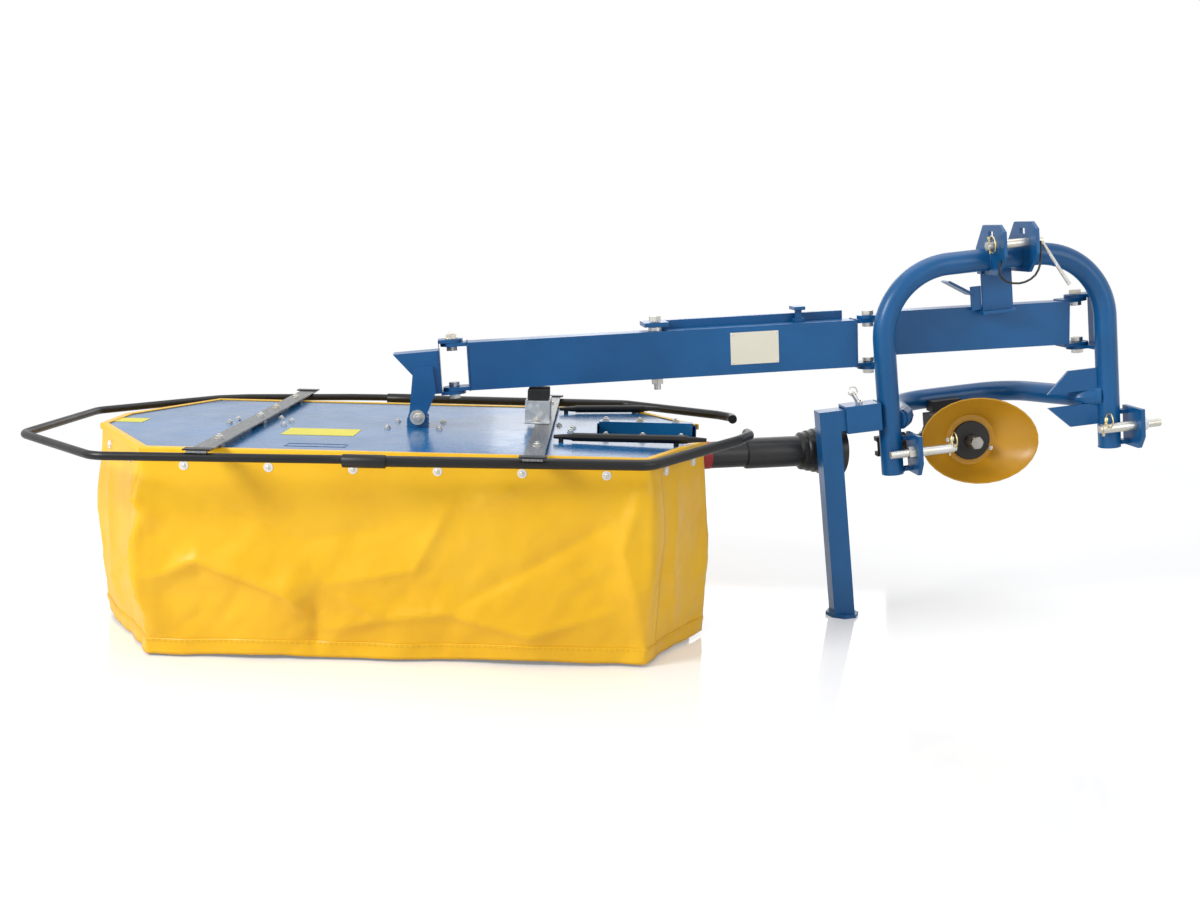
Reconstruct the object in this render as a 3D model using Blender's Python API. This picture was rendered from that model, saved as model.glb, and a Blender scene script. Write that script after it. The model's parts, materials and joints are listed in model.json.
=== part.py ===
"""Rotary mower with a canvas skirt, a hinged carrying arm and a three-point hitch frame.

Metres, +Z up. The deck lies along X and the tractor stands on the -Y side.
"""

from math import cos, pi, radians, sin

import bmesh
import bpy
from mathutils import Matrix, Vector

GAP = 0.0003          # between pieces that touch
RUN = 0.006           # between pieces that move past each other
FIT = 0.0005          # round a shaft that turns in its bore

# Deck: a tray of sheet steel, eight-sided in plan, with an open notch for the drive shaft
DECK_Z = 0.536
DECK_LEFT = -0.852
DECK_RIGHT = 0.801
DECK_HALF = 0.46
DECK_SHEET = 0.004
DECK_RIM = 0.040
LEFT_HALF = 0.095     # half width of the short left end
RIGHT_HALF = 0.154
NEAR_LEFT_CORNER = -0.617
FAR_LEFT_CORNER = -0.690
NEAR_RIGHT_CORNER = 0.643
FAR_RIGHT_CORNER = 0.600
NOTCH_X = 0.510
NOTCH_NEAR = -0.120
NOTCH_FAR = 0.145
RAIL_FLANGE = 0.030
RAIL_WALL = 0.006
RAIL_DROP = 0.090

# Rotors
LEFT_ROTOR_X = -0.442
RIGHT_ROTOR_X = 0.360
DRUM_R = 0.150
DISC_R = 0.300
DISC_Z = 0.070        # underside of the knife disc
DRUM_TOP = 0.395
KNIFE_TIP_R = 0.385
KNIFE_W = 0.045
SAUCER_R = 0.215
SAUCER_TOP = 0.052
SHAFT_R = 0.030       # fixed post down the middle of a rotor
BEAM_H = 0.095        # gear case under the deck
BEAM_W = 0.200
CASE_R = 0.104

# Guard tube, straps and braces
THIN_TUBE_R = 0.0107
THICK_TUBE_R = 0.0135
STRAP_W = 0.050
STRAP_T = 0.006
STRAP_LIFT = 0.012
STRAP_NEAR = -0.592
STRAP_FAR = 0.612
BRACE_R = 0.0115
BLOCK_T = 0.030
BRACKET_W = 0.070
BRACKET_T = 0.005

# Skirt
SKIRT_T = 0.003
SKIRT_BOTTOM = 0.020
SKIRT_OUT = GAP        # outside the deck's rim
SKIRT_TOP = DECK_Z - 0.012

# Carrying arm: its frame starts on the tilt pivot, turned and raised towards the hitch
PIVOT_Y = 0.022
PIVOT_UP = 0.030
ARM_TURN = radians(6.0)
ARM_RISE = radians(4.2)
ARM_H = 0.135
ARM_W = 0.080
ARM_WALL = 0.006
ARM_Z = 0.132         # middle of the arm above the pivot
ARM_X0 = 0.152
ARM_X1 = 1.268
FORK_R = 0.024
FORK_T = 0.010
BOLT_R = 0.010
HEAD_TIP = -0.056
HEAD_X1 = 0.083
HEAD_HINGE_X = 0.108
ARM_HINGE_X = 1.312
BEAM_X0 = 1.375
BEAM_X1 = 1.905
BEAM_TUBE_H = 0.126
BEAM_HINGE_H = -0.058  # hinge beside the right leg, in the hitch frame
LUG_T = 0.010
LUG_R = 0.032
STRUT_Y = 0.062

# Hitch frame: starts here in the arm's frame and leans a little further
HITCH_X = 2.0
HITCH_Z = 0.170
HITCH_LEAN = radians(3.2)
HOOP_Y = -0.100
HOOP_R = 0.03175
LEFT_LEG_X = -0.672
RIGHT_LEG_X = -0.018
LEG_BOTTOM = -0.377
HOOP_TOP = 0.2055
HOOP_BEND = 0.200
BOW_Z = -0.222
BOW_BACK = 0.200
PIN_Y = -0.151
PIN_Z = -0.312
PIN_R = 0.011
CLEVIS_X = (-0.354, -0.262)
CLEVIS_T = 0.010
TOP_PIN = (-0.170, 0.246)
STRAP_X = (-0.365, -0.275)
STAND_W = 0.060
STAND_X = -0.852
SOCKET_W = 0.078
SOCKET_X = (-0.807, -0.7045)
STAND_Z = -0.200
FOOT_R = 0.048
FOOT_T = 0.010

# Drive: input stub facing the tractor, right-angle gearbox, telescopic shaft to the deck
DRIVE_X = -0.417
DRIVE_Z = -0.318
DRIVE_Y = 0.030       # line of the telescopic shaft, in the arm's frame
GEARBOX = (0.150, 0.150, 0.130)
GEARBOX_Y = -0.010
CONE_MOUTH_Y = -0.125
CONE_RX = 0.176
CONE_RZ = 0.126
CONE_BASE_R = 0.078
CONE_T = 0.004
SHAFT_INNER_X = 1.235
SHAFT_OUTER = Vector((0.500, 0.016, 0.447))
NOSE_X = 0.470        # end of the gear case's input
YOKE_X = -0.678       # free end of the gearbox's yoke, under the arm's hinge
TUBE_R = 0.039
BELL_R = 0.078


def start():
    for old in list(bpy.data.objects):
        bpy.data.objects.remove(old)
    for name in ("rotary_mower", "cutters"):
        made = bpy.data.collections.new(name)
        bpy.context.scene.collection.children.link(made)
    bpy.data.collections["cutters"].hide_render = True


def paint(name, colour, roughness, metallic=0.0):
    made = bpy.data.materials.new(name)
    made.use_nodes = True
    shader = made.node_tree.nodes["Principled BSDF"]
    shader.inputs["Base Color"].default_value = (*colour, 1.0)
    shader.inputs["Roughness"].default_value = roughness
    shader.inputs["Metallic"].default_value = metallic
    return made


def empty(name, parent=None, at=(0, 0, 0), turned=(0, 0, 0)):
    made = bpy.data.objects.new(name, None)
    bpy.data.collections["rotary_mower"].objects.link(made)
    made.parent = parent
    made.location = at
    made.rotation_euler = turned
    return made


def place(name, shape, finish, frame, origin=(0, 0, 0), smooth=True):
    """A named piece whose origin stands at `origin` of its frame."""
    bmesh.ops.recalc_face_normals(shape, faces=shape.faces)
    bmesh.ops.translate(shape, vec=-Vector(origin), verts=shape.verts)
    mesh = bpy.data.meshes.new(name)
    shape.to_mesh(mesh)
    shape.free()
    made = bpy.data.objects.new(name, mesh)
    is_cutter = finish is None
    bpy.data.collections["cutters" if is_cutter else "rotary_mower"].objects.link(made)
    made.parent = frame
    made.location = origin
    if is_cutter:
        made.hide_render = True
        made.display_type = "WIRE"
        return made
    mesh.materials.append(finish)
    if smooth:
        mesh.shade_smooth()
        mesh.set_sharp_from_angle(angle=radians(35))
    return made


def box(low, high):
    shape = bmesh.new()
    low, high = Vector(low), Vector(high)
    size = Matrix.Diagonal((*(high - low), 1.0))
    bmesh.ops.create_cube(shape, size=1.0, matrix=Matrix.Translation((low + high) / 2) @ size)
    return shape


def rod(start_point, end_point, radius, end_radius=None, sides=20):
    shape = bmesh.new()
    a, b = Vector(start_point), Vector(end_point)
    turn = (b - a).to_track_quat("Z", "Y").to_matrix().to_4x4()
    bmesh.ops.create_cone(
        shape, cap_ends=True, segments=sides, radius1=radius,
        radius2=radius if end_radius is None else end_radius,
        depth=(b - a).length, matrix=Matrix.Translation((a + b) / 2) @ turn)
    return shape


def prism(outline, low, high, plane):
    """The outline's points lie in plane XY, XZ or YZ; it runs from low to high on the third axis."""
    order = {"XY": (0, 1, 2), "XZ": (0, 2, 1), "YZ": (1, 2, 0)}[plane]
    shape = bmesh.new()
    corners = []
    for u, v in outline:
        point = [0.0, 0.0, 0.0]
        point[order[0]], point[order[1]], point[order[2]] = u, v, low
        corners.append(shape.verts.new(point))
    face = shape.faces.new(corners)
    moved = bmesh.ops.extrude_face_region(shape, geom=[face])["geom"]
    shift = Vector([0.0, 0.0, 0.0])
    shift[order[2]] = high - low
    bmesh.ops.translate(
        shape, vec=shift, verts=[v for v in moved if isinstance(v, bmesh.types.BMVert)])
    return shape


def turned(profile, at, sides=32):
    """A solid of revolution about a vertical axis; the profile's points are (radius, height)."""
    shape = bmesh.new()
    points = [shape.verts.new((r, 0.0, z)) for r, z in profile]
    edges = [shape.edges.new((a, b)) for a, b in zip(points, points[1:] + points[:1])]
    bmesh.ops.spin(shape, geom=points + edges, cent=(0, 0, 0), axis=(0, 0, 1),
                   angle=2 * pi, steps=sides, use_merge=True)
    bmesh.ops.remove_doubles(shape, verts=shape.verts, dist=1e-6)
    bmesh.ops.translate(shape, vec=at, verts=shape.verts)
    return shape


def change(piece, operation, *shapes, frame=None):
    """Joins shapes to a piece or cuts them from it."""
    for number, shape in enumerate(shapes):
        helper = place(f"{piece.name}_{operation.lower()}_{len(piece.modifiers)}_{number}",
                       shape, None, frame or piece.parent)
        step = piece.modifiers.new(f"{operation.lower()} {len(piece.modifiers)}", "BOOLEAN")
        step.operation = operation
        step.solver = "EXACT"
        step.object = helper


def join(piece, *shapes, frame=None):
    change(piece, "UNION", *shapes, frame=frame)


def cut(piece, *shapes, frame=None):
    change(piece, "DIFFERENCE", *shapes, frame=frame)


def tube(name, points, radius, finish, frame, bevel_resolution=2):
    curve = bpy.data.curves.new(name, "CURVE")
    curve.dimensions = "3D"
    curve.bevel_depth = radius
    curve.bevel_resolution = bevel_resolution
    curve.use_fill_caps = True
    line = curve.splines.new("POLY")
    line.points.add(len(points) - 1)
    for slot, point in zip(line.points, points):
        slot.co = (*point, 1.0)
    made = bpy.data.objects.new(name, curve)
    bpy.data.collections["rotary_mower"].objects.link(made)
    made.parent = frame
    curve.materials.append(finish)
    return made


def rounded(points, radius, steps=5):
    """The path with each inner corner replaced by an arc of the given radius."""
    points = [Vector(p) for p in points]
    path = [points[0]]
    for before, corner, after in zip(points, points[1:], points[2:]):
        into, out = (before - corner).normalized(), (after - corner).normalized()
        half = into.angle(out) / 2
        reach = min(radius * cos(half) / sin(half), 0.45 * (before - corner).length,
                    0.45 * (after - corner).length)
        first, last = corner + into * reach, corner + out * reach
        centre = corner + (into + out).normalized() * (reach / cos(half))
        for step in range(steps + 1):
            share = step / steps
            spread = pi - 2 * half
            blend = (sin((1 - share) * spread), sin(share * spread))
            arm = (first - centre) * blend[0] + (last - centre) * blend[1]
            path.append(centre + arm / sin(spread))
    path.append(points[-1])
    return path


def as_mesh(piece):
    """Turns a tube into a mesh with welded caps, so that it can be cut and joined."""
    bpy.context.view_layer.update()
    graph = bpy.context.evaluated_depsgraph_get()
    mesh = bpy.data.meshes.new_from_object(piece.evaluated_get(graph))
    shape = bmesh.new()
    shape.from_mesh(mesh)
    bmesh.ops.remove_doubles(shape, verts=shape.verts, dist=1e-6)
    bmesh.ops.recalc_face_normals(shape, faces=shape.faces)
    shape.to_mesh(mesh)
    shape.free()
    name, frame, finish = piece.name, piece.parent, piece.data.materials[0]
    bpy.data.objects.remove(piece)
    made = bpy.data.objects.new(name, mesh)
    bpy.data.collections["rotary_mower"].objects.link(made)
    made.parent = frame
    if not mesh.materials:
        mesh.materials.append(finish)
    mesh.shade_smooth()
    mesh.set_sharp_from_angle(angle=radians(40))
    return made


def deck_outline(inset):
    """The deck's eight corners, moved in by the inset (out where it is negative)."""
    near, far = -DECK_HALF + inset, DECK_HALF - inset
    left, right = DECK_LEFT + inset, DECK_RIGHT - inset
    slip = 0.45 * inset
    return [
        (left, -LEFT_HALF + slip), (NEAR_LEFT_CORNER + slip, near),
        (NEAR_RIGHT_CORNER - slip, near), (right, -RIGHT_HALF + slip),
        (right, RIGHT_HALF - slip), (FAR_RIGHT_CORNER - slip, far),
        (FAR_LEFT_CORNER + slip, far), (left, LEFT_HALF - slip)]


def deck(blue, world, level):
    plate = place("deck", prism(deck_outline(0), DECK_Z - DECK_RIM, DECK_Z, "XY"), blue, world,
                  smooth=False)
    cut(plate, prism(deck_outline(DECK_SHEET), DECK_Z - DECK_RIM - 0.01, DECK_Z - DECK_SHEET, "XY"))
    cut(plate, box((NOTCH_X, NOTCH_NEAR, DECK_Z - DECK_RIM - 0.01),
                   (DECK_RIGHT + 0.01, NOTCH_FAR, DECK_Z + 0.01)))
    lug_x, lug_y, slot = 0.030, 0.034, 0.001
    for side in (-1, 1):
        edge = (lug_y - FORK_T, lug_y) if side > 0 else (-lug_y, -lug_y + FORK_T)
        cut(plate, box((-lug_x - slot, edge[0] - slot, -0.09), (lug_x + slot, edge[1] + slot, 0.01)),
            frame=level)
    base_top = -PIVOT_UP - DECK_SHEET - GAP
    lugs = place("pivot_lugs", box((-0.060, -0.060, base_top - 0.012), (0.060, 0.060, base_top)),
                 blue, level, smooth=False)
    for side in (-1, 1):
        edge = (lug_y - FORK_T, lug_y) if side > 0 else (-lug_y, -lug_y + FORK_T)
        outline = [(-lug_x, base_top - 0.006), (lug_x, base_top - 0.006), (lug_x, -0.004)]
        outline += [(0.021 * cos(a), 0.021 * sin(a)) for a in (0.5, 1.2, 1.95, 2.65)]
        outline += [(-lug_x, -0.004)]
        join(lugs, prism(outline, edge[0], edge[1], "XZ"))
    cut(lugs, rod((0, -0.1, 0), (0, 0.1, 0), BOLT_R + GAP))


def rails(blue, world):
    for name, edge, side in (("near_rail", NOTCH_NEAR, -1), ("far_rail", NOTCH_FAR, 1)):
        inner = edge - side * (RAIL_WALL + GAP)
        web = edge - side * GAP
        outer = edge + side * RAIL_FLANGE
        top, seat = DECK_Z + GAP + RAIL_WALL, DECK_Z + GAP
        outline = [(inner, top), (outer, top), (outer, seat), (web, seat),
                   (web, DECK_Z - RAIL_DROP), (inner, DECK_Z - RAIL_DROP)]
        place(name, prism(outline, NOTCH_X + 0.004, DECK_RIGHT - 0.012, "YZ"), blue, world,
              smooth=False)


def straps(grey, world):
    low = DECK_Z + STRAP_LIFT
    for name, x in (("left_strap", LEFT_ROTOR_X), ("right_strap", RIGHT_ROTOR_X)):
        strap = place(name, box((x - STRAP_W / 2, STRAP_NEAR, low),
                                (x + STRAP_W / 2, STRAP_FAR, low + STRAP_T)), grey, world,
                      smooth=False)
        pads = (-DECK_HALF + 0.03, -0.02, DECK_HALF - 0.03) if x < 0 else (-0.43, 0.43)
        for y in pads:
            join(strap, box((x - 0.018, y - 0.015, DECK_Z + GAP), (x + 0.018, y + 0.015, low + 0.002)))


def guards(black, world):
    thin_z = DECK_Z + STRAP_LIFT - GAP - THIN_TUBE_R
    thick_z = DECK_Z + STRAP_LIFT - GAP - THICK_TUBE_R
    joint_near, joint_far = -0.036, -0.120
    tube("left_guard", rounded([
        (joint_near, -0.566, thin_z), (joint_near - 0.080, -0.566, thin_z), (-0.690, -0.596, thin_z),
        (-0.985, -0.300, thin_z),
        (-0.960, 0.150, thin_z), (-0.700, 0.478, thin_z), (-0.620, 0.520, thin_z),
        (-0.300, 0.590, thin_z),
        (joint_far - 0.080, 0.600, thin_z), (joint_far, 0.600, thin_z)], 0.07, 4),
        THIN_TUBE_R, black, world)
    near = tube("near_guard", rounded([
        (joint_near + 0.032, -0.566, thick_z), (0.645, -0.528, thick_z),
        (0.885, -0.235, thick_z + 0.02),
        (0.925, -0.150, thick_z + 0.022), (0.920, -0.115, thick_z + 0.022)], 0.06, 4),
        THICK_TUBE_R, black, world)
    far = tube("far_guard", rounded([
        (joint_far + 0.032, 0.600, thick_z), (0.600, 0.600, thick_z), (0.885, 0.395, thick_z),
        (0.925, 0.345, thick_z), (0.922, 0.305, thick_z)], 0.06, 4),
        THICK_TUBE_R, black, world)
    sleeves = ((near, joint_near, -0.566), (far, joint_far, 0.600))
    for guard, x, y in sleeves:
        solid = as_mesh(guard)
        ends = (x - 0.062, x + 0.042)
        join(solid, rod((ends[0], y, thick_z), (ends[1], y, thick_z), THICK_TUBE_R + 0.003, sides=16))
        cut(solid, rod((ends[0] - 0.01, y, thin_z), (x + 0.002, y, thin_z), THIN_TUBE_R + FIT,
                       sides=16))


def braces(black, world):
    z = DECK_Z + STRAP_LIFT + 0.002
    for name, start_point, end_point in (
            ("near_brace", (0.395, -0.215, z), (0.800, -0.250, z + 0.006)),
            ("far_brace", (0.392, 0.330, z), (0.700, 0.395, z))):
        a, b = Vector(start_point), Vector(end_point)
        along = (b - a).normalized()
        brace = place(name, rod(a + along * 0.05, b - along * 0.05, BRACE_R, sides=12), black, world)
        for tip, root, sign in ((a, a + along * 0.075, 1), (b, b - along * 0.075, -1)):
            join(brace, rod(root, tip, BRACE_R * 0.99, BRACE_R * 0.45, sides=12))
        foot_z = DECK_Z + GAP
        for where in (a + along * 0.02, b - along * 0.08):
            join(brace, rod((where.x, where.y, foot_z), (where.x, where.y, where.z), 0.007, sides=10))


def bracket(zinc, rubber, world):
    seat = DECK_Z + STRAP_LIFT + STRAP_T + GAP
    x0, x1 = RIGHT_ROTOR_X - 0.055, RIGHT_ROTOR_X - 0.055 + BRACKET_W
    top = bracket_top()
    y0, y1, t = -0.004, 0.116, BRACKET_T
    outline = [(y0 - 0.025, seat), (y0 + t, seat), (y0 + t, top - t), (y1 - t, top - t), (y1 - t, seat),
               (y1 + 0.025, seat), (y1 + 0.025, seat + t), (y1, seat + t), (y1, top), (y0, top),
               (y0, seat + t), (y0 - 0.025, seat + t)]
    place("rest_bracket", prism(outline, x0, x1, "YZ"), zinc, world, smooth=False)
    place("rest_block", box((x0 + 0.006, y0 + 0.012, top + GAP),
                            (x1 - 0.004, y1 - 0.012, top + BLOCK_T)),
          rubber, world, smooth=False)


def bracket_top():
    """Height of the bracket's top, so that the arm's underside clears the rubber block."""
    rise = (RIGHT_ROTOR_X - 0.055) * sin(ARM_RISE)
    underside = DECK_Z + PIVOT_UP + rise + (ARM_Z - ARM_H / 2) * cos(ARM_RISE)
    return underside - RUN - BLOCK_T


def skirt(canvas, world):
    """Five curtains hung outside the deck's rim, each one piece of cloth."""
    outer, inner = deck_outline(-SKIRT_OUT - SKIRT_T), deck_outline(-SKIRT_OUT)
    runs = {"front_skirt": (1, 2), "left_skirt": (6, 7, 0, 1), "back_skirt": (5, 6),
            "right_front_skirt": (2, 3), "right_back_skirt": (4, 5)}
    for name, corners in runs.items():
        outside = [Vector(outer[i]) for i in corners]
        inside = [Vector(inner[i]) for i in corners]
        for line in (outside, inside):
            line[0] += (line[1] - line[0]).normalized() * 0.012
            line[-1] += (line[-2] - line[-1]).normalized() * 0.012
        place(name, prism([*outside, *reversed(inside)], SKIRT_BOTTOM, SKIRT_TOP, "XY"), canvas,
              world, smooth=False)


def gear_case(cast, world):
    z1 = DECK_Z - DECK_SHEET - GAP
    z0 = z1 - BEAM_H
    case = place("gear_case", box((LEFT_ROTOR_X - 0.02, -BEAM_W / 2, z0),
                                  (RIGHT_ROTOR_X + 0.02, BEAM_W / 2, z1 - 0.018)), cast, world)
    for x in (LEFT_ROTOR_X, RIGHT_ROTOR_X):
        join(case, rod((x, 0, z0 - 0.020), (x, 0, z1 - 0.018), CASE_R, sides=24))
        join(case, rod((x, 0, SAUCER_TOP - 0.012), (x, 0, z0), SHAFT_R, sides=16))
        join(case, rod((x, 0, z1 - 0.02), (x, 0, z1), 0.08, sides=20))
    nose = SHAFT_OUTER
    join(case, rod((RIGHT_ROTOR_X + 0.05, nose.y, nose.z), (NOSE_X, nose.y, nose.z), 0.042))


def rotors(yellow, steel, world):
    for side, x, phase in (("left", LEFT_ROTOR_X, 0.5), ("right", RIGHT_ROTOR_X, 0.0)):
        bore = SHAFT_R + FIT
        top_hole = 0.125
        profile = [(bore, DISC_Z), (DISC_R, DISC_Z), (DISC_R, DISC_Z + 0.006),
                   (DRUM_R + 0.02, DISC_Z + 0.030), (DRUM_R, DISC_Z + 0.050), (DRUM_R, DRUM_TOP),
                   (top_hole, DRUM_TOP), (top_hole, DRUM_TOP - 0.006),
                   (DRUM_R - 0.006, DRUM_TOP - 0.006),
                   (DRUM_R - 0.006, DISC_Z + 0.050), (DRUM_R - 0.010, DISC_Z + 0.012),
                   (bore, DISC_Z + 0.012)]
        drum = place(f"{side}_drum", turned(profile, (x, 0, 0)), yellow, world, origin=(x, 0, DISC_Z))
        for knife in range(3):
            angle = 2 * pi * (knife + phase) / 3 + 0.26
            blade = box((DISC_R - 0.070, -KNIFE_W / 2, DISC_Z - 0.006),
                        (KNIFE_TIP_R, KNIFE_W / 2, DISC_Z + 0.002))
            bmesh.ops.rotate(blade, cent=(0, 0, 0), matrix=Matrix.Rotation(angle, 3, "Z"),
                             verts=blade.verts)
            bmesh.ops.translate(blade, vec=(x, 0, 0), verts=blade.verts)
            join(drum, blade)
        dish = [(0.0, 0.0), (0.110, 0.0), (SAUCER_R - 0.02, 0.020), (SAUCER_R, 0.045),
                (SAUCER_R - 0.006, 0.047), (SAUCER_R - 0.03, 0.030), (0.100, 0.010),
                (SHAFT_R + 0.012, 0.010), (SHAFT_R + 0.012, SAUCER_TOP),
                (SHAFT_R + FIT, SAUCER_TOP), (SHAFT_R + FIT, SAUCER_TOP - 0.016),
                (0.0, SAUCER_TOP - 0.016)]
        place(f"{side}_saucer", turned(dish, (x, 0, 0)), steel, world, origin=(x, 0, 0))


def lug(x, z, toward):
    """A flat hinge lug: round about its bolt and square where it is welded on."""
    outline = [(LUG_R * cos(a), LUG_R * sin(a)) for a in [pi / 2 + i * pi / 6 for i in range(7)]]
    reach = abs(toward - x)
    sign = 1 if toward > x else -1
    points = [(x + sign * u, v) for u, v in outline]
    points += [(toward, -LUG_R), (toward, LUG_R)]
    return prism(points if reach else points, z, z + LUG_T, "XY")


def bolts(name, x, tops, finish, frame):
    """Two short hinge bolts on one line; tops gives (name, lower end, upper end) of each shank."""
    for which, low, high in tops:
        bolt = place(f"{name}_{which}_bolt",
                     rod((x, 0, low - 0.012), (x, 0, high + 0.012), BOLT_R, sides=16),
                     finish, frame, origin=(x, 0, (low + high) / 2))
        join(bolt, rod((x, 0, high + 0.001), (x, 0, high + 0.013), 0.017, sides=6),
             rod((x, 0, low - 0.013), (x, 0, low - 0.001), 0.017, sides=6))


def carrying_arm(blue, zinc, arm):
    top, bottom = ARM_Z + ARM_H / 2, ARM_Z - ARM_H / 2
    beam = place("main_arm", box((ARM_X0, -ARM_W / 2, bottom), (ARM_X1, ARM_W / 2, top)), blue, arm,
                 smooth=False)
    cut(beam, box((ARM_X0 + 0.02, -ARM_W / 2 + ARM_WALL, bottom + ARM_WALL),
                  (ARM_X1 + 0.01, ARM_W / 2 - ARM_WALL, top - ARM_WALL)))
    inner = ((bottom, bottom + LUG_T), (top - LUG_T, top))
    for low, high in inner:
        join(beam, lug(HEAD_HINGE_X, low, ARM_X0 + 0.01), lug(ARM_HINGE_X, low, ARM_X1 - 0.01))
    hole = BOLT_R + GAP
    cut(beam, rod((HEAD_HINGE_X, 0, bottom - 0.1), (HEAD_HINGE_X, 0, top + 0.1), hole, sides=16),
        rod((ARM_HINGE_X, 0, bottom - 0.1), (ARM_HINGE_X, 0, top + 0.1), hole, sides=16))

    base = bottom - 0.004
    head = place("pivot_head", prism(
        [(HEAD_TIP, top - 0.022), (HEAD_X1 - 0.010, top - 0.018), (HEAD_X1 - 0.010, base),
         (0.040, base)], -0.038, 0.038, "XZ"), blue, arm, smooth=False)
    plate_low, plate_high = bottom - GAP - LUG_T, top + GAP
    join(head, box((HEAD_X1 - 0.012, -0.044, plate_low),
                   (HEAD_X1 - 0.002 - LUG_R * 0.3, 0.044, plate_high + LUG_T)))
    for low in (plate_low, plate_high):
        join(head, lug_back(HEAD_HINGE_X, low, HEAD_X1 - 0.012))
    for side in (-1, 1):
        y0, y1 = sorted((side * 0.036, side * (0.036 + FORK_T)))
        arc = [(FORK_R * cos(a), FORK_R * sin(a)) for a in [pi + i * pi / 6 for i in range(7)]]
        outline = [(-0.002, top - 0.060), *[(u, v) for u, v in arc], (0.056, base + 0.006),
                   (0.052, top - 0.060)]
        join(head, prism(outline, y0, y1, "XZ"))
    cut(head, rod((HEAD_HINGE_X, 0, bottom - 0.1), (HEAD_HINGE_X, 0, top + 0.1), hole, sides=16),
        rod((0, -0.1, 0), (0, 0.1, 0), BOLT_R + GAP))
    pivot = place("pivot_bolt", rod((0, -0.062, 0), (0, 0.062, 0), BOLT_R, sides=16), zinc, arm)
    join(pivot, rod((0, -0.060, 0), (0, -0.036 - FORK_T - GAP, 0), 0.021, sides=20),
         rod((0, 0.036 + FORK_T + GAP, 0), (0, 0.060, 0), 0.018, sides=6))
    bolts("head", HEAD_HINGE_X, (("lower", plate_low, bottom + LUG_T),
                                 ("upper", top - LUG_T, plate_high + LUG_T)),
          zinc, arm)
    strut(blue, zinc, arm, top)


def lug_back(x, z, toward):
    """A lug that is welded on at its left, at `toward`, and round at its right."""
    outline = [(x + LUG_R * cos(a), LUG_R * sin(a)) for a in [-pi / 2 + i * pi / 6 for i in range(7)]]
    outline += [(toward, LUG_R), (toward, -LUG_R)]
    return prism(outline, z, z + LUG_T, "XY")


def strut(blue, zinc, arm, top):
    """The break-back link along the back of the arm, with its anchor bolt and lock."""
    seat = top + GAP
    link = place("safety_link", box((0.700, STRUT_Y - 0.014, top - 0.004),
                                    (1.250, STRUT_Y + 0.014, top + 0.024)),
                 blue, arm, smooth=False)
    join(link, box((0.655, -0.030, seat + 0.012), (0.725, STRUT_Y + 0.014, seat + 0.024)))
    anchor = place("link_bolt", rod((0.689, 0, -0.130 + ARM_Z + 0.028), (0.689, 0, seat + 0.042),
                                    BOLT_R, sides=16),
                   zinc, arm)
    join(anchor, rod((0.689, 0, seat + 0.026), (0.689, 0, seat + 0.042), 0.018, sides=6),
         rod((0.689, 0, ARM_Z - ARM_H / 2 - 0.018), (0.689, 0, ARM_Z - ARM_H / 2 - GAP), 0.018,
             sides=6),
         rod((0.689, 0, seat), (0.689, 0, seat + 0.010), 0.020, sides=16))
    cut(bpy.data.objects["main_arm"], rod((0.689, 0, 0), (0.689, 0, 0.3), BOLT_R + GAP, sides=16))
    cut(link, rod((0.689, 0, seat + 0.005), (0.689, 0, seat + 0.03), BOLT_R + GAP, sides=16))
    lock = place("link_lock", box((1.098, 0.010, seat), (1.128, STRUT_Y - 0.016, seat + 0.010)), blue,
                 arm,
                 smooth=False)
    join(lock, box((1.104, 0.018, seat + 0.008), (1.122, 0.030, seat + 0.040)),
         box((1.098, 0.006, seat + 0.034), (1.130, STRUT_Y + 0.010, seat + 0.044)))
    cut(lock, rod((1.02, 0.024, seat + 0.025), (1.2, 0.024, seat + 0.025), 0.0045, sides=12))


def cross_beam(blue, zinc, arm):
    top, bottom = ARM_Z + ARM_H / 2, ARM_Z - ARM_H / 2
    middle = ARM_Z + 0.024
    low, high = middle - BEAM_TUBE_H / 2, middle + BEAM_TUBE_H / 2
    beam = place("cross_beam", box((BEAM_X0, -ARM_W / 2, low), (BEAM_X1, ARM_W / 2, high)), blue, arm,
                 smooth=False)
    cut(beam, box((BEAM_X0 - 0.01, -ARM_W / 2 + ARM_WALL, low + ARM_WALL),
                  (BEAM_X1 - 0.02, ARM_W / 2 - ARM_WALL, high - ARM_WALL)))
    plate_low, plate_high = bottom - GAP - LUG_T, top + GAP
    join(beam, box((BEAM_X0 - 0.004, -0.044, plate_low), (BEAM_X0 + 0.006, 0.044, plate_high + LUG_T)))
    for z in (plate_low, plate_high):
        join(beam, lug(ARM_HINGE_X, z, BEAM_X0))
    cut(beam, rod((ARM_HINGE_X, 0, bottom - 0.1), (ARM_HINGE_X, 0, top + 0.1), BOLT_R + GAP, sides=16))
    bolts("arm", ARM_HINGE_X, (("lower", plate_low, bottom + LUG_T),
                               ("upper", top - LUG_T, plate_high + LUG_T)),
          zinc, arm)


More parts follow.
